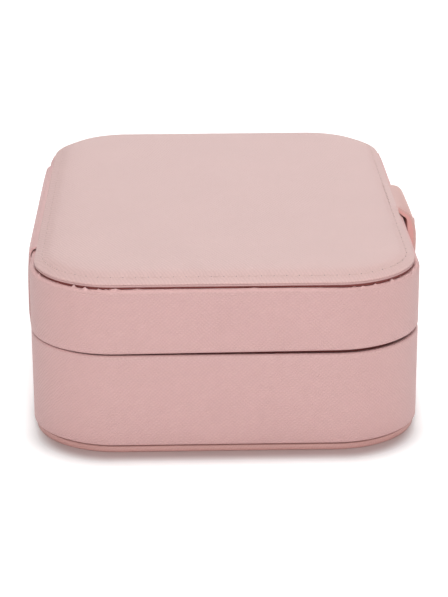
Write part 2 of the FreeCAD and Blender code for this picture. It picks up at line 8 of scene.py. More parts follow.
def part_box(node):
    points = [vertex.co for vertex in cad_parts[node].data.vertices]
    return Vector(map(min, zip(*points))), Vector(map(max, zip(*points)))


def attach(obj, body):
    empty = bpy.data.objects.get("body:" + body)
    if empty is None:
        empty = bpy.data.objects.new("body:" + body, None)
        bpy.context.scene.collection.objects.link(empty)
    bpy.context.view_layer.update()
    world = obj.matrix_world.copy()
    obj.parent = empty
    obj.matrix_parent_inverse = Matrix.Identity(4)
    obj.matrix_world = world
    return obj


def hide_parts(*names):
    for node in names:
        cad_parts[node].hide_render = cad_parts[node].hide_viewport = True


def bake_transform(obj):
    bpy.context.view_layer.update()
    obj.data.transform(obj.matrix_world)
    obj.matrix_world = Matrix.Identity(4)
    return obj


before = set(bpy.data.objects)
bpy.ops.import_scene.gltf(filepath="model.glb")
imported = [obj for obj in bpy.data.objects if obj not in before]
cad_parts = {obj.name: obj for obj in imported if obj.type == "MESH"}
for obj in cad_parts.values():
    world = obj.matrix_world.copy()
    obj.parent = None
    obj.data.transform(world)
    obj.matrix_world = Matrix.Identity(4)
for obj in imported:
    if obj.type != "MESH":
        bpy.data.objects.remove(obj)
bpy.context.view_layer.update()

MM = 0.001

# ---- Studio ----------------------------------------------------------------------------------
# The case stands on a pale seamless sheet under broad, soft lamps. The camera looks at one short
# end from a little above, with the strap on its right and the spine on its left.


class Wire:
    """An output of a node. Arithmetic with it adds the math nodes that work it out."""

    def __init__(self, socket):
        self.socket = socket
        self.tree = socket.id_data

    def other(self, key):
        """Another output of the same node."""
        return Wire(self.socket.node.outputs[key])


def connect(node, inputs):
    """Wire these sources to a node's inputs, or set the inputs where they are plain values."""
    for key, source in dict(inputs).items():
        socket = node.inputs[key]
        if isinstance(source, Wire):
            node.id_data.links.new(source.socket, socket)
        else:
            socket.default_value = (*source, 1) if socket.type == "RGBA" else source


def add_node(tree, kind, inputs=(), out=0, **settings):
    """Add a node with these settings and inputs, and give one of its outputs."""
    node = tree.nodes.new(kind)
    for key, value in settings.items():
        setattr(node, key, value)
    connect(node, inputs)
    return Wire(node.outputs[out]) if node.outputs else None


def calc(operation, *sources, kind="ShaderNodeMath"):
    tree = next(source.tree for source in sources if isinstance(source, Wire))
    return add_node(tree, kind, enumerate(sources), operation=operation)


def vector_calc(operation, *sources):
    return calc(operation, *sources, kind="ShaderNodeVectorMath")


for sign, operation in (("add", "ADD"), ("sub", "SUBTRACT"), ("mul", "MULTIPLY"), ("truediv", "DIVIDE")):
    setattr(Wire, f"__{sign}__", lambda self, other, work=operation: calc(work, self, other))
    setattr(Wire, f"__r{sign}__", lambda self, other, work=operation: calc(work, other, self))


def split_axes(vector):
    x = add_node(vector.tree, "ShaderNodeSeparateXYZ", {0: vector})
    return x, x.other("Y"), x.other("Z")


def spread(source, low, high, top=1.0, **settings):
    """Stretch a value so that low to high covers nought to top."""
    ends = {"Value": source, "From Min": low, "From Max": high, "To Max": top}
    return add_node(source.tree, "ShaderNodeMapRange", ends, **settings)


def blend_colours(factor, first, second):
    mix = factor.tree.nodes.new("ShaderNodeMix")
    mix.data_type = "RGBA"
    a, b = [index for index, socket in enumerate(mix.inputs) if socket.type == "RGBA"]
    connect(mix, {"Factor": factor, a: first, b: second})
    return Wire(next(socket for socket in mix.outputs if socket.type == "RGBA"))


def new_material(name, coordinates="Object"):
    """An empty node material, and the coordinates that its pattern follows."""
    material = bpy.data.materials.new(name)
    material.use_nodes = True
    material.node_tree.nodes.clear()
    return material, add_node(material.node_tree, "ShaderNodeTexCoord", out=coordinates)


def add_object(name, data):
    piece = bpy.data.objects.new(name, data)
    bpy.context.collection.objects.link(piece)
    return piece


def add_mesh(name, points, faces, edges=()):
    """A mesh piece at the origin, made from points in metres."""
    mesh = bpy.data.meshes.new(name)
    mesh.from_pydata([tuple(map(float, point)) for point in points], edges, faces)
    mesh.update()
    return add_object(name, mesh)


def rays_seen(tree):
    """One for what the camera sees, itself or mirrored, and nought for light on its way."""
    direct = add_node(tree, "ShaderNodeLightPath", out="Is Camera Ray")
    return calc("MAXIMUM", direct, direct.other("Is Glossy Ray"))


FLOOR_LIFT = 0.42
WORLD_LIGHT = 0.25
PAPER = (0.92, 0.92, 0.92)
# Rose-brown paper next to the case: a painted contact shadow.
PAINTED_CONTACT_SHADOW = (0.58, 0.46, 0.45)


def make_floor():
    """The sheet takes the case's shadow, and fades to plain white away from it. A painted contact shadow
    darkens and tints it rose-brown next to the case's foot, and the glow that whitens it is held back there.
    """
    rim, radii = 48, (0.02, 0.3, 0.8, 2.0, 4.0)
    turns = [2 * math.pi * i / rim for i in range(rim)]
    points = [(0.0, 0.0, 0.0)]
    points += [(radius * math.cos(turn), radius * math.sin(turn), 0.0) for radius in radii for turn in turns]
    faces = [(0, 1 + i, 1 + (i + 1) % rim) for i in range(rim)]
    for start in range(1, 1 + rim * (len(radii) - 1), rim):
        for i in range(rim):
            a, b = start + i, start + (i + 1) % rim
            faces.append((a, a + rim, b + rim, b))
    floor = add_mesh("floor_sheet", points, faces)
    material, place = new_material("floor_paper")
    tree = place.tree
    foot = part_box("bottom_panel")[1]
    radius = 20 * MM
    x, y, _ = split_axes(vector_calc("ADD", place, (3 * MM, 0, 0)))
    past_x = calc("MAXIMUM", calc("ABSOLUTE", x) - (foot.x - radius), 0.0)
    past_y = calc("MAXIMUM", calc("ABSOLUTE", y) - (foot.y - 4 * MM - radius), 0.0)
    away = calc("SQRT", past_x * past_x + past_y * past_y) - radius
    soft = {"interpolation_type": "SMOOTHSTEP"}
    # Painted contact shadow: rose-brown within about 5 mm of the foot, reaching further out on the -X side.
    paper = blend_colours(spread(away, -1 * MM, 5 * MM, **soft), PAINTED_CONTACT_SHADOW, PAPER)
    near = spread(away, 0.0, 10 * MM, FLOOR_LIFT, **soft)
    far = spread(away, 150 * MM, 500 * MM, 1 - FLOOR_LIFT, **soft)
    both = add_node(tree, "ShaderNodeAddShader", {
        0: add_node(tree, "ShaderNodeBsdfDiffuse", {"Color": paper}),
        1: add_node(tree, "ShaderNodeEmission", {"Strength": rays_seen(tree) * (near + far)}),
    })
    add_node(tree, "ShaderNodeOutputMaterial", {"Surface": both})
    floor.data.materials.append(material)


def make_world():
    world = bpy.data.worlds.new("studio")
    bpy.context.scene.world = world
    world.use_nodes = True
    tree = world.node_tree
    tree.nodes.clear()
    strength = rays_seen(tree) * (1.0 - WORLD_LIGHT) + WORLD_LIGHT
    sky = add_node(tree, "ShaderNodeBackground", {"Strength": strength, "Color": (1.0, 1.0, 1.0)})
    add_node(tree, "ShaderNodeOutputWorld", {"Surface": sky})


def make_camera():
    """Stands off the short -X end, a little towards the spine, and looks down along +X."""
    place = Vector((-0.6209, 0.0128, 0.2379))
    pitch, turn, roll = math.radians(19.48), math.radians(1.28), math.radians(-0.24)
    ahead = Vector((math.cos(turn) * math.cos(pitch), -math.sin(turn) * math.cos(pitch), -math.sin(pitch)))
    level = Vector((-math.sin(turn), -math.cos(turn), 0))
    up = level.cross(ahead)
    right = math.cos(roll) * level + math.sin(roll) * up
    top = math.cos(roll) * up - math.sin(roll) * level
    lens = bpy.data.cameras.new("camera")
    lens.lens = 121.7
    lens.sensor_width = 36
    lens.clip_start = 0.05
    camera = add_object("camera", lens)
    camera.matrix_world = Matrix.Translation(place) @ Matrix((right, top, -ahead)).transposed().to_4x4()
    bpy.context.scene.camera = camera


make_floor()
make_world()
make_camera()
for name, place, size, power in (
    ("overhead_lamp", (0.25, 0.0, 1.6), 0.34, 4.8),
    ("high_front_lamp", (-0.95, 0.1, 1.2), 0.7, 3.0),
    ("front_lamp", (-1.25, 0.0, 0.34), 0.8, 8.8),
    ("back_lamp", (1.05, -0.12, 0.85), 0.9, 4.2),
    ("hinge_side_lamp", (0.0, 1.2, 0.48), 0.9, 3.1),
    ("strap_side_lamp", (0.0, -1.2, 0.48), 0.9, 4.3),
):
    lamp = bpy.data.lights.new(name, "AREA")
    lamp.size = size
    lamp.energy = power
    holder = add_object(name, lamp)
    holder.location = place
    holder.rotation_euler = (Vector((0, 0, 0.03)) - Vector(place)).to_track_quat("-Z", "Y").to_euler()
bpy.context.scene.view_settings.view_transform = "Standard"

# ---- Bottom panel ----------------------------------------------------------------------------
# A thin board wrapped in the same embossed leather as the sides, glued under the tray; its colour is painted
# darker than the sides' as shade near the floor. A row of stitches runs round it, just inside the edge.

side_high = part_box("base_side_band")[1]
half_length = side_high.x
half_width = side_high.y
corner_radius = 26 * MM


def outline(inset, steps, size=None, radius=None, centre=(0.0, 0.0)):
    """Points round a rounded rectangle at an inset, with the way out at each, anticlockwise.

    steps is the number of pieces in a long side, a short side and a corner. The case's own
    outline is used where no size is given. Past half its corner radius a ring is the last true
    one drawn in towards the middle line, so that the corners stay round.
    """
    a, b = size or (half_length, half_width)
    deep = (radius or corner_radius) * 0.5
    drawn = max(0.0, inset - deep) / (b - deep)
    inset = min(inset, deep)
    r = (radius or corner_radius) - inset
    a, b = a - inset - r, b - inset - r
    places = []
    for quarter, (cx, cy) in enumerate([(a, b), (-a, b), (-a, -b), (a, -b)]):
        for i in range(steps[2]):
            angle = math.radians(90 * (quarter + i / steps[2]))
            out = (math.cos(angle), math.sin(angle))
            places.append((cx + r * out[0], cy + r * out[1], *out))
        angle = math.radians(90 * (quarter + 1))
        out = (round(math.cos(angle)), round(math.sin(angle)))
        side = 2 * (b if quarter % 2 else a)
        pieces = steps[1] if quarter % 2 else steps[0]
        for i in range(pieces):
            along = side * i / pieces
            places.append((cx + r * out[0] - out[1] * along, cy + r * out[1] + out[0] * along, *out))
    places = np.array(places)
    places[:, 0] *= 1 - drawn * (b + r) / (a + r)
    places[:, 1] *= 1 - drawn
    return places + np.array([*centre, 0.0, 0.0])


def rounding(pieces, turn=90):
    """A rounded edge of unit radius: how far in from each of two faces its points lie."""
    angles = [math.radians(turn * i / pieces) for i in range(pieces + 1)]
    return [(1 - math.sin(angle), 1 - math.cos(angle)) for angle in angles]


def set_sheet(piece, corners):
    """Keep each face corner's place on the flat sheet of leather as the UV map."""
    layer = piece.data.uv_layers.new(name="UVMap")
    layer.data.foreach_set("uv", np.array(corners, np.float32).ravel())


def loft(name, profile, steps, shape=None, cap_low=True, cap_high=True, from_top=False, **form):
    """Skin over rings that follow an outline: profile lists the (inset, height) of each ring.

    The leather's own sheet is the UV map: flat over the middle of the face that shows, the upper
    one where from_top is set, and carried on over the edge. Where neither end is capped the last
    ring is joined to the first. shape moves the points.
    """
    count = len(outline(0, steps, **form))
    rings = len(profile)
    travel = np.concatenate([[0.0], np.cumsum([math.dist(*pair) for pair in zip(profile, profile[1:])])])
    travel = travel[-1] - travel if from_top else travel
    flat_inset = profile[-1 if from_top else 0][0] - travel
    points, sheet = [], []
    for ring, (inset, height) in enumerate(profile):
        around = outline(inset, steps, **form)
        x, y, z = around[:, 0].copy(), around[:, 1].copy(), np.full(count, float(height))
        beyond = max(0.0, inset - flat_inset[ring] - 0.6 * MM)
        sheet.append(around[:, :2] + around[:, 2:] * beyond)
        if shape:
            x, y, z = shape(profile[ring], x, y, z)
        points.append(np.stack([x, y, z], axis=1))
    closed = not (cap_low or cap_high)
    faces, corners = [], []
    for i in range(rings if closed else rings - 1):
        for j in range(count):
            k, m = (i + 1) % rings, (j + 1) % count
            faces.append((i * count + j, i * count + m, k * count + m, k * count + j))
            corners += [sheet[i][j], sheet[i][m], sheet[k][m], sheet[k][j]]
    if cap_low:
        faces.append(tuple(reversed(range(count))))
        corners += list(sheet[0][::-1])
    if cap_high:
        faces.append(tuple(range((rings - 1) * count, rings * count)))
        corners += list(sheet[-1])
    piece = add_mesh(name, np.concatenate(points), faces)
    set_sheet(piece, corners)
    return piece


def finish(piece, material, smooth_angle=50):
    """Shade smooth except over real corners, and give the piece its material."""
    mesh = piece.data
    mesh.materials.clear()
    mesh.materials.append(material)
    mesh.polygons.foreach_set("use_smooth", [True] * len(mesh.polygons))
    mesh.set_sharp_from_angle(angle=math.radians(smooth_angle))
    mesh.update()
    return piece


def hand_over(piece, body, node):
    """The piece rides on its body, and may stand for a node, which is then hidden."""
    if body:
        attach(piece, body)
    if node:
        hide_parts(node)


def new_tree(kind, name, inputs, outputs):
    """A node tree with its inputs as wires. Each end has a value, or the name of its kind."""
    tree = bpy.data.node_groups.new(name, kind)
    for in_out, ends in (("INPUT", inputs), ("OUTPUT", outputs)):
        for label, value in ends.items():
            sort = value if isinstance(value, str) else type(value).__name__.capitalize()
            socket = tree.interface.new_socket(label, in_out=in_out, socket_type=f"NodeSocket{sort}")
            if sort != value:
                socket.default_value = value
    given = tree.nodes.new("NodeGroupInput")
    return tree, {label: Wire(given.outputs[label]) for label in inputs}, tree.nodes.new("NodeGroupOutput")


def add_noise(place, size, detail=3.0):
    """Noise with blotches of about this size, in metres."""
    noise = {"Vector": place, "Scale": 1.0 / size, "Detail": detail}
    return add_node(place.tree, "ShaderNodeTexNoise", noise, out="Fac")


def scaled(vector, factor):
    return add_node(vector.tree, "ShaderNodeVectorMath", {0: vector, "Scale": factor}, operation="SCALE")


def build_cross_grain():
    """Embossed leather grain: slanting ridges in one direction, cut across by a weaker set."""
    ends = {"Vector": "Vector", "Pitch": 0.65 * MM, "Crossed": 0.45}
    group, given, made = new_tree("ShaderNodeTree", "cross_grain", ends, {"Height": 0.0, "Groove": 0.0})
    place = scaled(given["Vector"], 1.0 / given["Pitch"])
    x, y, z = split_axes(place)
    across = (x + z * 0.9) * 0.7 + add_noise(place, 3.0, 2.0) * 1.6
    waves = [calc("SINE", (across + y * lean) * math.pi) for lean in (-0.75, 0.75)]
    ridges = [calc("POWER", calc("ABSOLUTE", wave), 0.7) for wave in waves]
    height = ridges[0] * (ridges[1] * given["Crossed"] + (1.0 - given["Crossed"]))
    connect(made, {"Height": height, "Groove": 1.0 - height})
    return group


def build_mottle():
    """Soft, uneven tone, as on any dyed skin or cloth."""
    takes = {"Vector": "Vector", "Size": 20 * MM}
    group, given, made = new_tree("ShaderNodeTree", "mottle", takes, {"Tone": 0.0})
    connect(made, {"Tone": spread(add_noise(given["Vector"], given["Size"], 4.0), 0.3, 0.7)})
    return group


cross_grain = build_cross_grain()
mottle = build_mottle()


def mottled(place, size):
    return add_node(place.tree, "ShaderNodeGroup", {"Vector": place, "Size": size}, node_tree=mottle)


def shade(colour, factor):
    return tuple(channel * factor for channel in colour)


def set_surface(material, colour, roughness, height=None, relief=0.0, **more):
    """Give the material its surface. height is the pattern of its relief."""
    tree = material.node_tree
    inputs = {"Base Color": colour, "Roughness": roughness, **more}
    if height:
        bump = {"Strength": 1.0, "Distance": relief, "Height": height}
        inputs["Normal"] = add_node(tree, "ShaderNodeBump", bump)
    surface = add_node(tree, "ShaderNodeBsdfPrincipled", inputs)
    add_node(tree, "ShaderNodeOutputMaterial", {"Surface": surface})
    return material


def make_leather(
    name, colour, coordinates="UV", pitch=0.65 * MM, relief=0.05 * MM, dark=0.45, drawn=1.0,
    crossed=0.45, rim=None,
):
    """Dyed leather with an embossed cross grain and a satin finish.

    drawn lengthens the grain. Above the height rim a painted highlight makes the leather a little paler and
    its grooves less dark.
    """
    material, place = new_material(name, coordinates)
    drawn_out = vector_calc("MULTIPLY", place, (1 / drawn, 1.0, 1.0))
    grain = {"Vector": drawn_out, "Pitch": pitch, "Crossed": crossed}
    height = add_node(place.tree, "ShaderNodeGroup", grain, node_tree=cross_grain)
    groove = height.other("Groove")
    ground = blend_colours(mottled(place, 22 * MM), shade(colour, 0.975), shade(colour, 1.02))
    ground = blend_colours(mottled(place, 2.2 * MM) * 0.4, ground, shade(colour, 0.94))
    sunk = groove * dark
    # Painted highlight above the height rim, for light on a rounded shoulder.
    if rim:
        upright = split_axes(add_node(place.tree, "ShaderNodeTexCoord", out="Object"))[2]
        painted_rim_highlight = spread(upright, rim, rim + 0.5 * MM)
        ground = blend_colours(painted_rim_highlight, ground, shade(colour, 1.14))
        sunk = sunk * (painted_rim_highlight * -0.7 + 1.0)
    ground = blend_colours(sunk, ground, shade(colour, 0.80))
    return set_surface(material, ground, groove * 0.16 + 0.44, height, relief)


# Painted darker than the side leather: shade on the underside by the floor.
base_leather = make_leather("base_leather", (0.53, 0.285, 0.26))


def make_thread(name, colour):
    """Two-ply polyester thread: the plies show as slanting ribs across each stitch."""
    material, place = new_material(name, "UV")
    plies = {"Vector": place, "Scale": 3.0, "Distortion": 0.6}
    plies = add_node(place.tree, "ShaderNodeTexWave", plies, out="Fac", bands_direction="DIAGONAL")
    return set_surface(material, blend_colours(plies, shade(colour, 0.88), colour), 0.5, plies, 0.05 * MM)


def make_hole_dark(name):
    """Painted shade for a needle hole: grey-rose, darker than the leather round it."""
    material, place = new_material(name)
    tone = mottled(place, 1.5 * MM)
    return set_surface(material, blend_colours(tone, (0.30, 0.20, 0.19), (0.38, 0.26, 0.25)), 0.8)


thread = make_thread("pink_thread", (0.70, 0.47, 0.44))
painted_hole_shade = make_hole_dark("needle_hole")


def join_axes(tree, **axes):
    return add_node(tree, "ShaderNodeCombineXYZ", axes)


def store_sheet(mesh, sheet):
    """Keep each face corner's place on the flat sheet as the UV map."""
    inputs = {"Geometry": mesh, "Name": "UVMap", "Value": sheet}
    settings = {"data_type": "FLOAT2", "domain": "CORNER"}
    return add_node(mesh.tree, "GeometryNodeStoreNamedAttribute", inputs, **settings)


def covered(geometry, material):
    """The geometry as one plain mesh in its finish."""
    real = add_node(geometry.tree, "GeometryNodeRealizeInstances", {"Geometry": geometry})
    return add_node(geometry.tree, "GeometryNodeSetMaterial", {"Geometry": real, "Material": material})


def grow(name, tree, source, **values):
    """Run a tree on a source piece and keep the result as one plain mesh."""
    modifier = source.modifiers.new(name, "NODES")
    modifier.node_group = tree
    for item in tree.interface.items_tree:
        label = item.name.replace(" ", "_").lower()
        if item.in_out == "INPUT" and label in values:
            modifier[item.identifier] = values[label]
    bpy.context.view_layer.update()
    ready = source.evaluated_get(bpy.context.evaluated_depsgraph_get())
    source_mesh = bpy.data.meshes.new_from_object(ready)
    source.modifiers.clear()
    source.data = source_mesh
    source.name = name
    source_mesh.name = name
    return source


def build_stitch_tree():
    """Stitches of even pitch along a line, each a sunk grain of thread, with a needle hole between, a small
    blob in the hole's painted shade.
    """
    tree, given, made = new_tree("GeometryNodeTree", "stitch_row", {
        "Geometry": "Geometry", "Pitch": 3.6 * MM, "Thread Length": 2.9 * MM, "Thread Width": 0.55 * MM,
        "Hole Width": 0.45 * MM, "Thread": "Material", "Hole": "Material",
    }, {"Geometry": "Geometry"})
    line = add_node(tree, "GeometryNodeMeshToCurve", {"Mesh": given["Geometry"]})
    even = {"Curve": line, "Length": given["Pitch"]}
    even = add_node(tree, "GeometryNodeResampleCurve", even, mode="LENGTH")
    up = {"Name": "up"}
    up = add_node(tree, "GeometryNodeInputNamedAttribute", up, out="Attribute", data_type="FLOAT_VECTOR")
    tangent = add_node(tree, "GeometryNodeInputTangent")
    turn = add_node(tree, "FunctionNodeAlignRotationToVector", {"Vector": tangent}, axis="X")
    turn = {"Rotation": turn, "Vector": up}
    turn = add_node(tree, "FunctionNodeAlignRotationToVector", turn, axis="Z", pivot_axis="X")
    join = tree.nodes.new("GeometryNodeJoinGeometry")
    for label, segments, rings, length, shift in (
        ("Thread", 8, 5, "Thread Length", 0.0), ("Hole", 6, 4, "Hole Width", 0.5)
    ):
        width = given[f"{label} Width"]
        grain = {"Segments": segments, "Rings": rings, "Radius": 0.5}
        grain = add_node(tree, "GeometryNodeMeshUVSphere", grain)
        shaped = add_node(tree, "GeometryNodeTransform", {
            "Geometry": store_sheet(grain, grain.other("UV Map")),
            "Scale": join_axes(tree, X=given[length], Y=width, Z=width * 0.7),
            "Translation": join_axes(tree, X=given["Pitch"] * shift),
        })
        row = {"Points": even, "Instance": shaped, "Rotation": turn}
        row = add_node(tree, "GeometryNodeInstanceOnPoints", row)
        connect(join, {"Geometry": covered(row, given[label])})
    connect(made, {"Geometry": Wire(join.outputs[0])})
    return tree


stitch_tree = build_stitch_tree()


def stitch_row(name, points, ups, closed, body, slot, **values):
    """One row of stitches along these points, standing out along ups."""
    count = len(points)
    edges = [(i, (i + 1) % count) for i in range(count if closed else count - 1)]
    line = add_mesh(name, points, [], edges)
    up = line.data.attributes.new("up", "FLOAT_VECTOR", "POINT")
    up.data.foreach_set("vector", np.array(ups, np.float32).ravel())
    settings = {"thread": thread, "hole": painted_hole_shade, **values}
    row = grow(name, stitch_tree, line, **settings)
    row.data.polygons.foreach_set("use_smooth", [True] * len(row.data.polygons))
    hand_over(row, body, None)
    return row


def make_bottom_panel():
    low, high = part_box("bottom_panel")
    inset = half_length - high.x
    edge = 0.45 * MM
    insets = (57.0 * MM, 40 * MM, 20 * MM, 8 * MM, 6 * MM, 4.6 * MM, inset + 2 * MM, inset + edge)
    profile = [(spot, low.z) for spot in insets]
    profile += [(inset + edge * out, low.z + edge * up) for out, up in rounding(6)[1:]]
    profile += [(inset, high.z - 0.25 * MM), (inset + 0.25 * MM, high.z), (inset + 2 * MM, high.z)]
    profile += [(8 * MM, high.z)]
    steps = (60, 40, 30)
    panel = finish(loft("bottom_leather", profile, steps), base_leather)
    hand_over(panel, "base", "bottom_panel")
    around = outline(inset + 4.2 * MM, steps)
    points = np.column_stack([around[:, :2], np.full(len(around), low.z + 0.08 * MM)])
    ups = np.tile([0.0, 0.0, -1.0], (len(points), 1))
    stitch_row("bottom_stitches", points, ups, True, "base", "outer_leather", hole_width=0.4 * MM)


make_bottom_panel()

# ---- Boards ----------------------------------------------------------------------------------
# Bookbinding board, cut and glued into two shallow boxes. The frames and the lid's deck are a dark rose
# where their edges show in the seams, a painted shade there; the rest is bare and grey.


def make_board(name, colour):
    """Pressed board: short fibres and a soft, uneven tone."""
    material, place = new_material(name)
    fibre = add_noise(place, 0.35 * MM, 5.0)
    ground = blend_colours(mottled(place, 6 * MM), shade(colour, 0.85), shade(colour, 1.1))
    return set_surface(material, blend_colours(fibre, ground, shade(colour, 0.6)), 0.9, fibre, 0.08 * MM)


def dress(material, *nodes):
    """Carried-over parts take this material in every slot."""
    for node in nodes:
        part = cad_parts[node]
        for slot in part.material_slots:
            slot.material = material
        if not part.material_slots:
            part.data.materials.append(material)


grey_board = make_board("grey_board", (0.35, 0.34, 0.32))
dress(grey_board, "bottom_board", "base_floor", "top_board", "mirror_backing")
dress(make_board("rose_faced_board", (0.36, 0.16, 0.15)), "base_frame", "lid_frame", "lid_deck")

# ---- Tray side band --------------------------------------------------------------------------
# One long strip of embossed leather, pasted round the tray's board frame and turned over its rim.
# Its section is swept round the case's outline, and the ends meet behind the spine.

PINK_SIDE = (0.607, 0.368, 0.356)
lid_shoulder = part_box("lid_side_band")[1].z
# Its painted highlight starts 1 mm under the lid band's shoulder.
side_leather = make_leather(
    "side_leather", PINK_SIDE, pitch=0.84 * MM, relief=0.1 * MM, dark=0.4, crossed=0.85,
    rim=lid_shoulder - 1 * MM,
)

band_thick = 0.9 * MM
lip_reach = 3.45 * MM


def build_band_tree():
    """Sweeps a band's section round a path, then lets the lower edge tilt and the shoulder bunch."""
    tree, given, made = new_tree("GeometryNodeTree", "wrapped_band", {
        "Geometry": "Geometry", "Path": "Object", "Middle": 15 * MM, "Half Height": 14 * MM,
        "Half Width": half_width, "Drop": 0.0, "Tilt": 0.0, "Fold Height": 0.0, "Shoulder Drop": 0.0,
        "Fold Size": 2.2 * MM, "Wobble": 0.06 * MM, "Leather": "Material",
    }, {"Geometry": "Geometry"})
    path = add_node(tree, "GeometryNodeObjectInfo", {"Object": given["Path"]}, out="Geometry")
    section = add_node(tree, "GeometryNodeMeshToCurve", {"Mesh": given["Geometry"]})
    kept = []
    for line in (add_node(tree, "GeometryNodeSetCurveNormal", {"Curve": path}, mode="Z_UP"), section):
        keep = tree.nodes.new("GeometryNodeCaptureAttribute")
        keep.capture_items.new("FLOAT", "Travel")
        travel = add_node(tree, "GeometryNodeSplineParameter", out="Length")
        connect(keep, {"Geometry": line, 1: travel})
        kept.append(Wire(keep.outputs[0]))
    sweep = add_node(tree, "GeometryNodeCurveToMesh", {"Curve": kept[0], "Profile Curve": kept[1]})
    sheet = join_axes(tree, X=kept[0].other(1), Y=kept[1].other(1))
    weld = {"Geometry": store_sheet(sweep, sheet), "Distance": 0.01 * MM}
    weld = add_node(tree, "GeometryNodeMergeByDistance", weld)

    place = add_node(tree, "GeometryNodeInputPosition")
    x, y, z = split_axes(place)
    share = (z - given["Middle"]) / given["Half Height"]
    side = y / given["Half Width"]
    sink = (side * given["Tilt"] + given["Drop"]) * calc("MAXIMUM", share * -1.0, 0.0)
    flat = vector_calc("MULTIPLY", place, (1.0, 1.0, 0.0))
    rising = spread(add_noise(flat, given["Fold Size"], 1.5), 0.60, 0.70)
    end_x = spread(calc("ABSOLUTE", x), half_length - 40 * MM, half_length - 22 * MM)
    end_y = spread(calc("ABSOLUTE", y), half_width - 36 * MM, half_width - 20 * MM)
    corner = end_x * end_y
    folds = rising * (corner * 0.85 + 0.15) * given["Fold Height"]
    eased = (corner * 0.6 + 0.4) * (side * -0.25 + 0.85) * given["Shoulder Drop"]
    lift = (folds - eased) * spread(share, 0.84, 0.97) - sink
    wobble = (add_noise(place, 16 * MM, 1.0) - 0.5) * given["Wobble"]
    sway = scaled(add_node(tree, "GeometryNodeInputNormal"), wobble)
    offset = vector_calc("ADD", join_axes(tree, Z=lift), sway)
    moved = add_node(tree, "GeometryNodeSetPosition", {"Geometry": weld, "Offset": offset})
    connect(made, {"Geometry": covered(moved, given["Leather"])})
    return tree


def band_section(low, high, low_round, high_round, low_lip):
    """A band's closed section as (inset, height), up the outside and back down the inside."""
    turn = 0.3 * MM
    sag = 0.7 * MM
    points = [(lip_reach, low + band_thick), (lip_reach, low + turn + sag), (lip_reach - turn, low + sag)]
    points = points if low_lip else [(band_thick, low)]
    points += [(low_round * out, low + low_round * up) for out, up in rounding(6)]
    wall_low, wall_high = low + low_round, high - high_round
    points += [(0.0, wall_low + (wall_high - wall_low) * i / 8) for i in range(1, 8)]
    points += [(high_round * out, high - high_round * down) for down, out in rounding(8)]
    points += [(high_round + (lip_reach - turn - high_round) / 2, high - 0.45 * sag)]
    points += [(lip_reach - turn, high - sag), (lip_reach, high - turn - sag), (lip_reach, high - band_thick)]
    points += [(band_thick, high - band_thick)]
    points += [(band_thick, low + band_thick)] if low_lip else []
    return points + [points[0]]


def band_path():
    """The case's outline as an open line that starts and ends behind the spine."""
    around = outline(0.0, (60, 40, 72))[:, :2]
    start = int(np.argmin(np.abs(around[:, 0]) + 10 * np.abs(around[:, 1] - half_width)))
    ring = np.roll(around, -start, axis=0)
    line = bpy.data.curves.new("band_path", "CURVE")
    line.dimensions = "3D"
    spline = line.splines.new("POLY")
    spline.points.add(len(ring))
    for point, (x, y) in zip(spline.points, [*ring, ring[0]]):
        point.co = (x, y, 0.0, 1.0)
    return add_object("band_path", line)


band_tree = build_band_tree()


def make_band(name, node, body, low_round, high_round, low_lip, **values):
    low, high = (corner.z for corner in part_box(node))
    section = band_section(low, high, low_round, high_round, low_lip)
    edges = [(i, i + 1) for i in range(len(section) - 1)]
    source = add_mesh(name, [(-inset, -height, 0.0) for inset, height in section], [], edges)
    path = band_path()
    settings = {"middle": (low + high) / 2, "half_height": (high - low) / 2, **values}
    band = grow(name, band_tree, source, path=path, leather=side_leather, **settings)
    bpy.data.objects.remove(path)
    hand_over(finish(band, side_leather), body, node)


seam_paper = make_board("seam_paper", (0.27, 0.075, 0.068))


def make_seam_edge(name, body, inset, low, high):
    """A dark rose ring just inside a seam: painted shade, so that the seam reads dark red-brown."""
    deep = inset + 0.6 * MM
    ring = [(deep, low), (inset, low), (inset, (low + high) / 2), (inset, high), (deep, high)]
    edge = loft(name, ring, (50, 32, 24), cap_low=False, cap_high=False)
    hand_over(finish(edge, seam_paper), body, None)


make_band("tray_leather", "base_side_band", "base", 0.3 * MM, 0.8 * MM, False, drop=-0.2 * MM)
panel_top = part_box("bottom_panel")[1].z
# Painted shade in the bottom seam and in the parting under the lid.
make_seam_edge("tray_seam_edge", "base", 1.5 * MM, panel_top - 0.2 * MM, panel_top + 0.6 * MM)
make_seam_edge("tray_rim_edge", "base", 3.2 * MM, side_high.z - 0.8 * MM, side_high.z - 0.05 * MM)

# ---- Tray linings ----------------------------------------------------------------------------
# Card strips wrapped in short-pile velvet, pressed in round the tray's walls, and a thin wadded
# pad of the same velvet on its floor.


def make_velvet(name, colour):
    """Short-pile velvet: a fine, soft pile with paler and darker patches where it is brushed."""
    material, place = new_material(name)
    pile = add_noise(place, 0.5 * MM, 4.0)
    ground = blend_colours(mottled(place, 11 * MM), shade(colour, 0.90), shade(colour, 1.06))
    ground = blend_colours(spread(pile, 0.35, 0.65), shade(colour, 0.78), ground)
    sheen = {"Sheen Weight": 0.35, "Sheen Roughness": 0.45}
    return set_surface(material, ground, 0.9, pile, 0.22 * MM, **sheen)


velvet = make_velvet("blush_velvet", (0.66, 0.47, 0.44))
LINING_STEPS = (50, 32, 24)


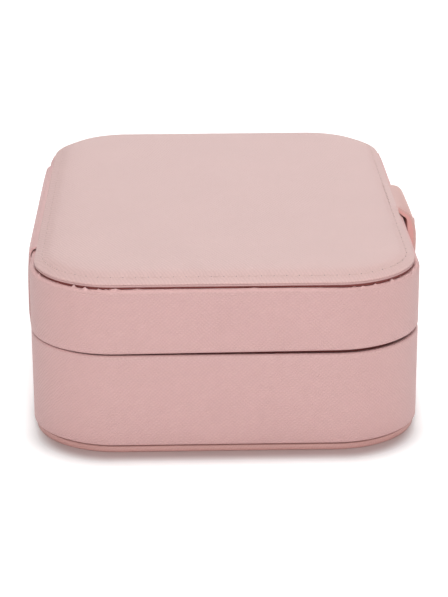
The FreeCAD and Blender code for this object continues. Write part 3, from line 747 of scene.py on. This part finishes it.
def make_wall_lining(name, node, body, free_end):
    """A velvet-covered card wall. free_end is its edge that shows, rounded over: 1 up, -1 down."""
    low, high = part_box(node)
    outer = half_length - high.x
    thick = 1.0 * MM
    height = high.z - low.z
    shoulder = height - thick / 2
    ring = [(outer, 0.0), (outer, shoulder)]
    ring += [(outer + thick / 2 * out, height - thick / 2 * down) for down, out in rounding(6, 180)[1:-1]]
    ring += [(outer + thick, shoulder), (outer + thick, height * 0.5), (outer + thick, 0.0)]
    if free_end > 0:
        ring = [(inset, low.z + rise) for inset, rise in ring]
    else:
        ring = [(inset, high.z - rise) for inset, rise in reversed(ring)]
    lining = loft(name, ring, LINING_STEPS, cap_low=False, cap_high=False)
    hand_over(finish(lining, velvet, 60), body, node)


def make_flat_pad(name, node, body, soft_side):
    """A thin wadded pad, with a rounded edge and a slightly dimpled face: 1 up, -1 down."""
    low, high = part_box(node)
    outer = half_length - high.x
    edge = 0.9 * MM
    back, face = (low.z, high.z) if soft_side > 0 else (high.z, low.z)
    rise = face - back
    profile = [(outer + 20 * MM, back), (outer + edge, back)]
    profile += [(outer + edge * out, back + rise * 0.46 * up) for out, up in rounding(8, 180)]
    profile += [(outer + 2.5 * edge, back + rise * 0.96)]
    profile += [(inset, face) for inset in (outer + 5 * edge, outer + 12 * edge, 46 * MM, 56 * MM)]

    def dimple(spot, x, y, z):
        if abs(spot[1] - face) > 0.1 * MM:
            return x, y, z
        wave = np.sin(x / (5.1 * MM) + 1.3 * np.sin(y / (7 * MM))) * np.sin(y / (4.3 * MM) + 0.8)
        return x, y, z - soft_side * 0.06 * MM * (1 + wave)

    pad = loft(name, profile[::soft_side], LINING_STEPS, dimple)
    hand_over(finish(pad, velvet, 60), body, node)


make_wall_lining("tray_wall_lining", "base_wall_lining", "base", 1)
make_flat_pad("tray_floor_pad", "base_floor_pad", "base", 1)

# ---- Ring cushion ----------------------------------------------------------------------------
# Eight rolls of foam, each wrapped in velvet and glued to one card, close enough together that
# a ring's band is held in the slit between two of them.


def build_soft_block_tree():
    """A block with well-rounded edges and a crowned face, cut off flat where it is glued down."""
    tree, given, made = new_tree("GeometryNodeTree", "soft_block", {
        "Geometry": "Geometry", "Size": "Vector", "Centre": "Vector", "Rounding": 2 * MM, "Floor": 0.0,
        "Crown": 0.0, "Wrinkle": 0.0, "Wrinkle Size": 6 * MM, "Rib Pitch": 1.0, "Rib Depth": 0.0,
        "Pieces X": 40, "Pieces Y": 12, "Pieces Z": 12, "Cover": "Material",
    }, {"Geometry": "Geometry"})
    block = {f"Vertices {axis}": given[f"Pieces {axis}"] for axis in "XYZ"}
    block = add_node(tree, "GeometryNodeMeshCube", {"Size": given["Size"], **block})
    place = add_node(tree, "GeometryNodeInputPosition")
    half = scaled(given["Size"], 0.5)
    corner = join_axes(tree, **{axis: given["Rounding"] for axis in "XYZ"})
    core = vector_calc("SUBTRACT", half, corner)
    inner = vector_calc("MINIMUM", vector_calc("MAXIMUM", place, scaled(core, -1.0)), core)
    way = vector_calc("NORMALIZE", vector_calc("SUBTRACT", place, inner))
    rounded = vector_calc("ADD", inner, vector_calc("MULTIPLY", way, corner))

    share_x, share_y, _ = split_axes(vector_calc("DIVIDE", place, half))
    bow_x = 1.0 - calc("POWER", calc("ABSOLUTE", share_x), 4.0)
    bow_y = 1.0 - calc("POWER", calc("ABSOLUTE", share_y), 2.0)
    bow = join_axes(tree, Z=bow_x * bow_y * given["Crown"])
    spot = vector_calc("ADD", place, given["Centre"])
    turn = split_axes(place)[0] / given["Rib Pitch"] * (2 * math.pi) + add_noise(spot, 5 * MM, 2.0) * 5.0
    crease = (add_noise(spot, given["Wrinkle Size"], 2.0) - 0.6) * given["Wrinkle"]
    pushed = scaled(way, crease + calc("SINE", turn) * given["Rib Depth"])
    shaped = vector_calc("ADD", vector_calc("ADD", rounded, pushed), bow)
    placed = vector_calc("ADD", shaped, given["Centre"])
    cut = vector_calc("MAXIMUM", placed, join_axes(tree, X=-1.0, Y=-1.0, Z=given["Floor"]))
    moved = add_node(tree, "GeometryNodeSetPosition", {"Geometry": block, "Position": cut})
    connect(made, {"Geometry": covered(moved, given["Cover"])})
    return tree


soft_block_tree = build_soft_block_tree()


def soft_block(name, low, high, cover, floor=None, pieces=(40, 12, 12), **values):
    """A soft block that fills a box. Where floor is given it is cut off flat at that height."""
    low, high = Vector(low), Vector(high)
    if floor is not None:
        low.z = floor - values["rounding"]
    values.update({f"pieces_{axis}": count for axis, count in zip("xyz", pieces)})
    floor = -1.0 if floor is None else floor
    values.update(size=high - low, centre=(low + high) / 2, floor=floor, cover=cover)
    return finish(grow(name, soft_block_tree, add_mesh(name, [], []), **values), cover, 60)


for number in range(1, 9):
    node = f"ring_roll_{number}"
    low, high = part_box(node)
    crown = 0.5 * MM
    roll = soft_block(
        f"ring_cushion_roll_{number}", low, (high.x, high.y, high.z - crown), velvet, floor=low.z,
        rounding=5.4 * MM, crown=crown, wrinkle=0.5 * MM, wrinkle_size=7 * MM, pieces=(46, 18, 18),
    )
    hand_over(roll, "base", node)
dress(velvet, "ring_card")

# ---- Dividers --------------------------------------------------------------------------------
# Board walls wrapped in the same velvet, glued to the floor pad, that split the rest of the tray
# into one long and two square compartments.

for node, pieces in (
    ("long_divider", (8, 60, 20)), ("cross_divider", (60, 8, 20)), ("short_divider", (8, 50, 20))
):
    low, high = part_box(node)
    settings = {"rounding": 1.3 * MM, "wrinkle": 0.12 * MM, "pieces": pieces}
    wall = soft_block(f"{node}_wall", low, high, velvet, floor=low.z, **settings)
    hand_over(wall, "base", node)

# ---- Lid side band and linings ---------------------------------------------------------------
# The lid is made as the tray is, upside down. Its leather is turned over both edges, and bunches
# into small folds where it goes round the corners under the top panel.

make_band(
    "lid_leather", "lid_side_band", "lid", 0.8 * MM, 1.4 * MM, True,
    tilt=0.44 * MM, fold_height=0.85 * MM, shoulder_drop=0.40 * MM,
)
deck_low, deck_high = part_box("lid_deck")
# Painted shade in the top seam and in the parting above the tray.
make_seam_edge("lid_seam_edge", "lid", 2.15 * MM, deck_low.z + 0.9 * MM, deck_high.z + 0.1 * MM)
lid_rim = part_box("lid_side_band")[0].z
make_seam_edge("lid_rim_edge", "lid", 3.2 * MM, lid_rim + 0.05 * MM, lid_rim + 0.8 * MM)
make_wall_lining("lid_wall_velvet", "lid_wall_lining", "lid", -1)
make_flat_pad("lid_ceiling_cushion", "lid_ceiling_pad", "lid", -1)

# ---- Top panel -------------------------------------------------------------------------------
# Foam over board, covered with one sheet of embossed leather and stitched all round. The border
# outside the stitches is thin, and the field inside them is softly padded and slightly crowned.

PINK_TOP = (0.675, 0.447, 0.424)
stitch_pitch = 3.6 * MM
stitch_in = 2.4 * MM


def make_foam():
    material, place = new_material("white_foam")
    cells = {"Scale": 1 / (0.4 * MM), "Vector": place}
    cells = add_node(place.tree, "ShaderNodeTexVoronoi", cells, out="Distance")
    tint = blend_colours(cells, (0.62, 0.60, 0.55), (0.80, 0.79, 0.75))
    return set_surface(material, tint, 0.9, cells, 0.1 * MM)


def ease(value):
    """A soft step: nought below nought, one above one, and smooth between."""
    value = np.clip(value, 0.0, 1.0)
    return value * value * (3 - 2 * value)


panel_low, panel_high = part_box("top_panel")
panel_inset = half_length - panel_high.x
panel_floor = panel_low.z
shelf_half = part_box("strap_outer")[1].x + 2.5 * MM

# Height of the panel's upper face above its underside, at each distance in from its edge. The
# field inside the last of these is drawn as one shallow crown.
panel_rise = [
    (0.0, 0.50), (0.08, 0.68), (0.30, 0.84), (0.75, 1.02), (1.2, 1.22), (1.7, 1.45), (2.1, 1.61), (2.4, 1.71),
    (2.7, 1.83), (3.1, 2.01), (3.6, 2.24), (4.4, 2.58), (5.8, 2.84), (7.4, 2.96),
]
field_insets = (8.6, 10.0, 12.0, 14.5, 18.0, 22.0, 27.0, 32.0, 37.0, 42.0, 47.0, 51.0, 54.0)
field_rise = 2.96 * MM
crown_height = 0.42 * MM


def field_height(x, y):
    """The padded field: nearly level, falling away a little towards its edges."""
    a, b = half_length - panel_inset - 7.4 * MM, half_width - panel_inset - 7.4 * MM
    along = np.clip(1 - np.abs(x / a) ** 4, 0, 1)
    across = np.clip(1 - np.abs(y / b) ** 4, 0, 1)
    return panel_floor + field_rise + crown_height * np.sqrt(along * across)


def stitch_pull(spot, x, y, z):
    """The thread draws the leather down in a shallow dip, deepest at each needle hole."""
    inset = spot[0] - panel_inset
    if inset > 8 * MM:
        return field_height(x, y)
    near = math.exp(-(((inset - stitch_in) / (0.5 * MM)) ** 2))
    if near < 0.02 or spot[1] < panel_floor + 0.5 * MM:
        return z
    steps = np.hypot(np.roll(x, -1) - x, np.roll(y, -1) - y)
    length = np.concatenate([[0.0], np.cumsum(steps)[:-1]])
    holes = 0.5 + 0.5 * np.cos(2 * math.pi * length / stitch_pitch)
    return z - near * 0.05 * holes * MM


def strap_shelf(spot, x, y, z):
    """The panel's edge rises a little where the strap grows out of it."""
    z = stitch_pull(spot, x, y, z)
    inset = spot[0] - panel_inset
    if inset > 4.5 * MM or spot[1] < panel_floor + 0.3 * MM:
        return x, y, z
    across = ease((shelf_half - np.abs(x)) / (4 * MM)) * (y < 0)
    level = panel_floor + (1.66 + 0.05 * inset / MM) * MM
    return x, y, z + np.maximum(level - z, 0) * across


def make_top_panel():
    steps = (200, 130, 70)
    profile = [(12.0, 0.0), (0.15, 0.0), (0.0, 0.15), *panel_rise, *[(inset, 3.2) for inset in field_insets]]
    profile = [(panel_inset + inset * MM, panel_floor + rise * MM) for inset, rise in profile]
    panel = loft("top_leather_pad", profile, steps, strap_shelf, from_top=True)
    settings = {"pitch": 0.8 * MM, "relief": 0.06 * MM, "dark": 0.42, "drawn": 1.8}
    finish(panel, make_leather("top_leather", PINK_TOP, **settings), 70)
    hand_over(panel, "lid", "top_panel")
    around = outline(panel_inset + stitch_in, steps)
    height = np.full(len(around), panel_floor + 1.67 * MM)
    spot = (panel_inset + stitch_in, panel_floor + 1.6 * MM)
    height = strap_shelf(spot, around[:, 0], around[:, 1], height)[2]
    points = np.column_stack([around[:, :2], height - 0.05 * MM])
    ups = np.column_stack([around[:, 2:] * 0.35, np.full(len(around), 1.0)])
    stitch_row("top_stitches", points, ups, True, "lid", "outer_leather")


make_top_panel()
dress(make_foam(), "top_foam")
dress(make_leather("backing_leather", shade(PINK_SIDE, 0.9), coordinates="Object"), "top_backing")

# ---- Mirror ----------------------------------------------------------------------------------
# A small silvered glass on a card backing, held in the lid by a leather frame that laps over its
# edge and is stitched through to the backing.


def make_mirror_glass():
    material, place = new_material("silvered_glass")
    haze = mottled(place, 9 * MM)
    tint = blend_colours(haze, (0.86, 0.88, 0.88), (0.90, 0.91, 0.91))
    return set_surface(material, tint, haze * 0.02 + 0.015, Metallic=1.0)


def frame_form(low, high, radius):
    """An outline's size, corner radius and centre for a piece that fills this box."""
    size = ((high.x - low.x) / 2, (high.y - low.y) / 2)
    return {"size": size, "radius": radius, "centre": ((low.x + high.x) / 2, (low.y + high.y) / 2)}


def loop_stitches(name, form, inset, height, steps, **values):
    """A closed row of stitches at an inset inside a piece's outline, on its underside."""
    around = outline(inset, steps, **form)
    points = np.column_stack([around[:, :2], np.full(len(around), height)])
    ups = np.tile([0.0, 0.0, -1.0], (len(points), 1))
    stitch_row(name, points, ups, True, "lid", "lining_leather", **values)


lining_leather = make_leather("lining_leather", (0.62, 0.40, 0.375), pitch=0.55 * MM)


def make_mirror_frame():
    low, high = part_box("mirror_frame")
    glass_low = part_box("mirror_glass")[0]
    form = frame_form(low, high, 10 * MM)
    rebate = glass_low.x - low.x
    sight = rebate + 1.0 * MM
    edge = 0.5 * MM
    turns = [(edge * (1 - math.sin(a)), edge * (1 - math.cos(a))) for a in (0.0, 0.5, 1.0, math.pi / 2)]
    section = [(sight, glass_low.z), (sight, low.z + edge)]
    section += [(sight - out, low.z + up) for up, out in turns[1:]]
    section += [(sight * 0.62, low.z), (sight * 0.38, low.z)]
    section += [(out, low.z + up) for out, up in turns]
    section += [(0.0, high.z), (rebate - 0.1 * MM, high.z), (rebate - 0.1 * MM, glass_low.z)]
    piece = loft("mirror_surround", section, (40, 30, 16), cap_low=False, cap_high=False, **form)
    hand_over(finish(piece, lining_leather), "lid", "mirror_frame")
    sizes = {"pitch": 3.0 * MM, "thread_length": 2.3 * MM, "thread_width": 0.5 * MM, "hole_width": 0.4 * MM}
    loop_stitches("mirror_stitches", form, sight / 2, low.z + 0.05 * MM, (60, 40, 12), **sizes)


make_mirror_frame()
dress(make_mirror_glass(), "mirror_glass")

# ---- Necklace hooks --------------------------------------------------------------------------
# Three brass hooks riveted through a padded leather strip. Each is a flat bar bent up at its end
# from a round flange, so that a chain can't slide off.


def make_brass():
    """Lacquered brass: warm and bright, with faint polishing marks."""
    material, place = new_material("lacquered_brass")
    rub = add_noise(place, 0.25 * MM, 2.0)
    tint = blend_colours(mottled(place, 4 * MM), (0.72, 0.49, 0.26), (0.82, 0.58, 0.33))
    return set_surface(material, tint, rub * 0.12 + 0.18, rub, 0.01 * MM, Metallic=1.0)


def make_hook_strip():
    low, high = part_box("hook_strip")
    form = frame_form(low, high, 4 * MM)
    profile = [(5.5, 0.0), (3.0, 0.02), (2.0, 0.06), (1.5, 0.22), (1.0, 0.30), (0.4, 0.42), (0.0, 0.75)]
    profile = [(inset * MM, low.z + rise * MM) for inset, rise in profile] + [(0.0, high.z), (3 * MM, high.z)]
    strip = finish(loft("hook_leather_strip", profile, (50, 12, 10), **form), lining_leather, 70)
    hand_over(strip, "lid", "hook_strip")
    sizes = {"pitch": 2.6 * MM, "thread_length": 2.0 * MM, "thread_width": 0.42 * MM, "hole_width": 0.35 * MM}
    loop_stitches("hook_strip_stitches", form, 1.5 * MM, low.z + 0.22 * MM, (60, 12, 10), **sizes)


brass = make_brass()
make_hook_strip()
dress(brass, "necklace_hook_1", "necklace_hook_2", "necklace_hook_3")

# ---- Gathered pocket -------------------------------------------------------------------------
# Thin satin, cut half as wide again as the pocket, gathered into a ruched elastic hem at the mouth
# and sewn to the ceiling pad round its other three sides.


def make_satin(name, colour):
    """Woven satin: smooth, with a directional gloss broken up by its fine threads."""
    material, place = new_material(name)
    weave = {"Scale": 1 / (0.9 * MM), "Distortion": 1.0, "Vector": place}
    weave = add_node(place.tree, "ShaderNodeTexWave", weave, out="Fac", bands_direction="X")
    ground = blend_colours(mottled(place, 8 * MM), shade(colour, 0.95), shade(colour, 1.05))
    ground = blend_colours(weave * 0.3, ground, shade(colour, 0.85))
    return set_surface(material, ground, weave * 0.08 + 0.30, weave, 0.02 * MM)


satin = make_satin("rose_satin", (0.70, 0.47, 0.45))


def make_pocket():
    low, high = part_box("pocket_panel")
    columns, rows = 360, 70
    across = np.linspace(0, 1, columns)[:, None] * np.ones(rows)
    down = np.ones(columns)[:, None] * np.linspace(0, 1, rows)
    x = low.x + across * (high.x - low.x)
    y = low.y + down * (high.y - low.y)
    corner = 6 * MM
    side = np.minimum(x - low.x, high.x - x)
    foot = high.y - y
    pull = np.clip(1 - foot / corner, 0, 1)
    drawn_in = (1 - np.sqrt(1 - pull**2)) * corner * np.clip(1 - side / (2 * corner), 0, 1)
    x = x + np.sign(0.5 - across) * drawn_in
    belly = ease(side / (7 * MM)) * ease(foot / (7 * MM))
    drift = 0.5 * np.sin(5.1 * across * math.pi) + 0.35 * np.sin(2 * down + 9 * across)
    phase = 2 * math.pi * (24 * across + drift)
    sharp = np.sin(phase) + 0.35 * np.sin(2.03 * phase + 2 * down + 1.0)
    gather = (0.62 * np.exp(-down * 2.6) + 0.16) * np.minimum(belly + 0.25, 1.0)
    puff = (1.45 - 0.5 * np.exp(-down * 9)) * belly
    z = high.z - np.clip(0.1 + puff + gather * (0.5 + 0.36 * sharp), 0.02, 2.2) * MM
    corners = [i * rows + j for i in range(columns - 1) for j in range(rows - 1)]
    faces = [(a, a + 1, a + rows + 1, a + rows) for a in corners]
    pocket = add_mesh("gathered_pocket", np.stack([x, y, z], axis=-1).reshape(-1, 3), faces)
    hand_over(finish(pocket, satin, 90), "lid", "pocket_panel")
    return pocket


pocket = make_pocket()
hem_low, hem_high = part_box("pocket_hem")
hem = soft_block(
    "ruched_hem", hem_low + Vector((0, 0, 0.12 * MM)), hem_high, satin, pieces=(420, 12, 6),
    rounding=0.36 * MM, rib_pitch=2.1 * MM, rib_depth=0.16 * MM, wrinkle=0.15 * MM, wrinkle_size=2.5 * MM,
)
hand_over(hem, "lid", "pocket_hem")

# ---- Strap -----------------------------------------------------------------------------------
# A tongue of the top panel's leather, folded down over the front edge and lined with smooth hide.
# It is stitched close to its edge, and the cap of a brass press stud is set through its end.

strap_low, strap_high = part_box("strap_outer")
strap_half = strap_high.x
strap_end = strap_low.z
ply = 0.9 * MM

# Outer face of the strap from the panel's field to its end, as (distance from the middle, height)
# in millimetres.
strap_line = [
    (53.2, 52.50), (54.6, 52.64), (55.9, 52.69), (57.0, 52.64), (58.1, 52.45), (59.1, 52.05), (59.9, 51.40),
    (60.5, 50.45), (61.0, 49.2), (61.4, 47.5), (61.65, 45.7), (61.80, 44.0), (61.88, 42.0), (61.85, 39.0),
    (61.70, 34.0), (61.50, 26.0), (61.46, 17.5), (61.46, 8.0),
]


def smooth_line(corners, step):
    """An even line of points along a smooth curve through these corners, with the distance."""
    corners = np.array(corners)
    gaps = np.linalg.norm(np.diff(corners, axis=0), axis=1)
    at = np.concatenate([[0.0], np.cumsum(gaps)])
    before = np.vstack([2 * corners[0] - corners[1], corners, 2 * corners[-1] - corners[-2]])
    knots = np.concatenate([[-gaps[0]], at, [at[-1] + gaps[-1]]])
    slopes = (before[2:] - before[:-2]) / (knots[2:] - knots[:-2])[:, None]
    spots = np.linspace(0, at[-1], max(2, int(at[-1] / step)))
    piece = np.clip(np.searchsorted(at, spots, side="right") - 1, 0, len(gaps) - 1)
    h = gaps[piece][:, None]
    t = ((spots - at[piece]) / gaps[piece])[:, None]
    line = (2 * t**3 - 3 * t**2 + 1) * corners[piece] + (t**3 - 2 * t**2 + t) * h * slopes[piece]
    line += (3 * t**2 - 2 * t**3) * corners[piece + 1] + (t**3 - t**2) * h * slopes[piece + 1]
    return line, spots


def ways_out(line):
    """The way out of the face at each point of a line in (distance out, height)."""
    tangent = np.gradient(line, axis=0)
    tangent /= np.linalg.norm(tangent, axis=1)[:, None]
    return np.column_stack([-tangent[:, 1], tangent[:, 0]])


def strip_mesh(name, line, travel, half_widths, depths, side, columns=28, pull=None, rounded=(1, 1)):
    """A strip of leather along a line in (distance out, height), at two depths under its face.

    side is 1 where the strip lies towards +Y and -1 towards -Y. pull says how far each point is
    drawn back towards the case and down, and rounded which of the two faces have softened edges.
    """
    out = ways_out(line)
    rows = len(line)
    edge = 0.22 * MM
    points, sheet = [], []
    for face, depth in enumerate(depths):
        level = line - out * depth
        for i in range(rows):
            for x in np.linspace(-1, 1, columns) * half_widths[i]:
                near = max(0.0, 1 - (half_widths[i] - abs(x)) / (3 * edge))
                dip = edge * near * near * (-1 if face else 1) * rounded[face]
                away = level[i] - out[i] * dip
                back, down = pull(x, level[i][1], *line[i]) if pull else (0.0, 0.0)
                points.append((x, side * (away[0] - back), away[1] - down))
                sheet.append((x, travel[i]))
    block = rows * columns
    last = block - columns
    grid = [i * columns + j for i in range(rows - 1) for j in range(columns - 1)]
    faces = [(a, a + 1, a + columns + 1, a + columns) for a in grid]
    faces += [tuple(corner + block for corner in reversed(face)) for face in faces]
    rims = [(a, a + columns) for a in range(0, last, columns)]
    rims += [(a + columns, a) for a in range(columns - 1, block - 1, columns)]
    rims += [pair for j in range(columns - 1) for pair in ((j + 1, j), (last + j, last + j + 1))]
    faces += [(a, b, b + block, a + block) for a, b in rims]
    piece = add_mesh(name, points, [face[::side] for face in faces])
    corners = np.empty(len(piece.data.loops), np.int32)
    piece.data.loops.foreach_get("vertex_index", corners)
    set_sheet(piece, np.array(sheet)[corners])
    return piece


def strap_widths(line, inset):
    """Half the strap's width at each point of its line: parallel, then rounded off at the end."""
    radius = strap_half - 0.3 * MM
    left = line[:, 1] - strap_end - inset
    reach = np.clip(1 - left / (radius - inset), 0, 1)
    round_off = (radius - inset) * (1 - np.sqrt(np.clip(1 - reach**2, 0, 1)))
    return np.maximum(strap_half - inset - round_off, 0.5 * MM)


def strap_slack(x, height):
    """The strap stands off the case a little more on its -X side than on the other."""
    share = ease((height - 40 * MM) / (9 * MM)) * ease((53.2 * MM - height) / (1.6 * MM))
    return 0.7 * MM * share * (x + strap_half) / (2 * strap_half)


def strap_pull(x, level, distance, height):
    """Its -X edge also droops where the strap turns down over the rim of the top panel."""
    turn = ease((distance - 55.6 * MM) / (3.2 * MM)) * ease((height - 43 * MM) / (6 * MM))
    near = (strap_half - x) / (2 * strap_half)
    return strap_slack(x, level), 1.1 * MM * turn * near * near


def make_strap():
    line, travel = smooth_line([(y * MM, z * MM) for y, z in strap_line], 0.35 * MM)
    outer = strip_mesh(
        "strap_face", line, travel, strap_widths(line, 0.0), (0.0, ply), -1, pull=strap_pull, rounded=(1, 0)
    )
    finish(outer, make_leather("strap_leather", (0.65, 0.385, 0.352), relief=0.035 * MM, dark=0.35), 60)
    hand_over(outer, None, "strap_outer")

    start = int(np.argmax(line[:, 0] > 56.0 * MM))
    keep = (line[:, 1] > strap_end + 0.1 * MM) & (np.arange(len(line)) >= start)
    lined = line[keep]
    padding = 0.35 + 0.65 * ease((lined[:, 1] - 34 * MM) / (10 * MM))
    padding = (padding - 0.6 * ease((lined[:, 1] - 46.5 * MM) / (4.5 * MM))) * MM
    widths = strap_widths(lined, 0.05 * MM)
    depths = (ply, (2 * ply + padding)[:, None])
    inner = strip_mesh(
        "strap_back", lined, travel[keep], widths, depths, -1, pull=strap_pull, rounded=(0, 1)
    )
    finish(inner, make_leather("strap_inner_hide", (0.72, 0.36, 0.33), relief=0.015 * MM, dark=0.15), 60)
    hand_over(inner, None, "strap_lining")

    inset = 2.2 * MM
    run = (line[:, 1] < 47.5 * MM) & (line[:, 1] > strap_end + inset + 0.05 * MM)
    path, widths = line[run], strap_widths(line[run], inset)
    out = ways_out(path)
    sunk = path - out * 0.1 * MM
    sides = [[(x, strap_slack(x, z) - y, z) for (y, z), x in zip(sunk, widths * sign)] for sign in (1, -1)]
    ups = [(0.0, -y, z) for y, z in out]
    stitches = stitch_row(
        "strap_stitches", sides[0] + sides[1][::-1], ups + ups[::-1], False, None, "outer_leather",
        pitch=3.2 * MM, thread_length=2.5 * MM, hole_width=0.35 * MM,
    )
    for piece in (outer, inner, stitches):
        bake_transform(piece)


make_strap()
dress(brass, "snap_cap", "snap_socket", "snap_stud", "snap_post")

# ---- Spine and hinge tape --------------------------------------------------------------------
# One wide strip of the side leather is the hinge: glued to the tray, loose where it turns, and
# tucked under the top panel. A strip of cloth tape backs it up on the inside of the joint.

# Outer face of the spine from the tray's foot to the top panel, as the strap's line is given.
spine_line = [
    (58.40, 0.7), (58.40, 8.0), (58.40, 16.0), (58.40, 23.0), (58.62, 25.4), (59.15, 27.6), (59.45, 30.0),
    (59.50, 33.0), (59.47, 37.0), (59.42, 41.0), (59.28, 44.5), (59.05, 47.0), (58.65, 49.1), (58.00, 50.4),
    (57.05, 51.15), (55.80, 51.35),
]


def spine_pull(x, level, distance, height):
    """The loose part is bowed out in the middle and lies against the case at its two ends."""
    end = ease((np.abs(x) - 34 * MM) / (11 * MM))
    bowed = ease((level - 24 * MM) / (5 * MM)) * ease((50.6 * MM - level) / (3.5 * MM))
    return 0.5 * MM * end * bowed, 0.0


def make_spine():
    line, travel = smooth_line([(y * MM, z * MM) for y, z in reversed(spine_line)], 0.4 * MM)
    widths = np.full(len(line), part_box("spine")[1].x)
    spine = strip_mesh("spine_leather", line, travel, widths, (0.0, ply), 1, columns=140, pull=spine_pull)
    hand_over(finish(spine, side_leather, 60), None, "spine")
    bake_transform(spine)


def make_hinge_cloth(name):
    material, place = new_material(name, "UV")
    weave = {"Scale": 1 / (0.5 * MM), "Vector": place}
    weave = add_node(place.tree, "ShaderNodeTexChecker", weave, out="Fac")
    ground = blend_colours(mottled(place, 5 * MM), (0.50, 0.33, 0.31), (0.56, 0.37, 0.35))
    ground = blend_colours(weave * 0.5, ground, (0.40, 0.26, 0.25))
    return set_surface(material, ground, 0.85, weave, 0.05 * MM)


def make_hinge_tape():
    low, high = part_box("hinge_tape")
    line, travel = smooth_line([(high.y, high.z), (high.y, (low.z + high.z) / 2), (high.y, low.z)], 0.3 * MM)
    widths = np.full(len(line), high.x)
    tape = strip_mesh("hinge_tape_cloth", line, travel, widths, (0.0, high.y - low.y), 1, columns=60)
    hand_over(finish(tape, make_hinge_cloth("hinge_cloth"), 60), None, "hinge_tape")
    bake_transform(tape)


make_spine()
make_hinge_tape()
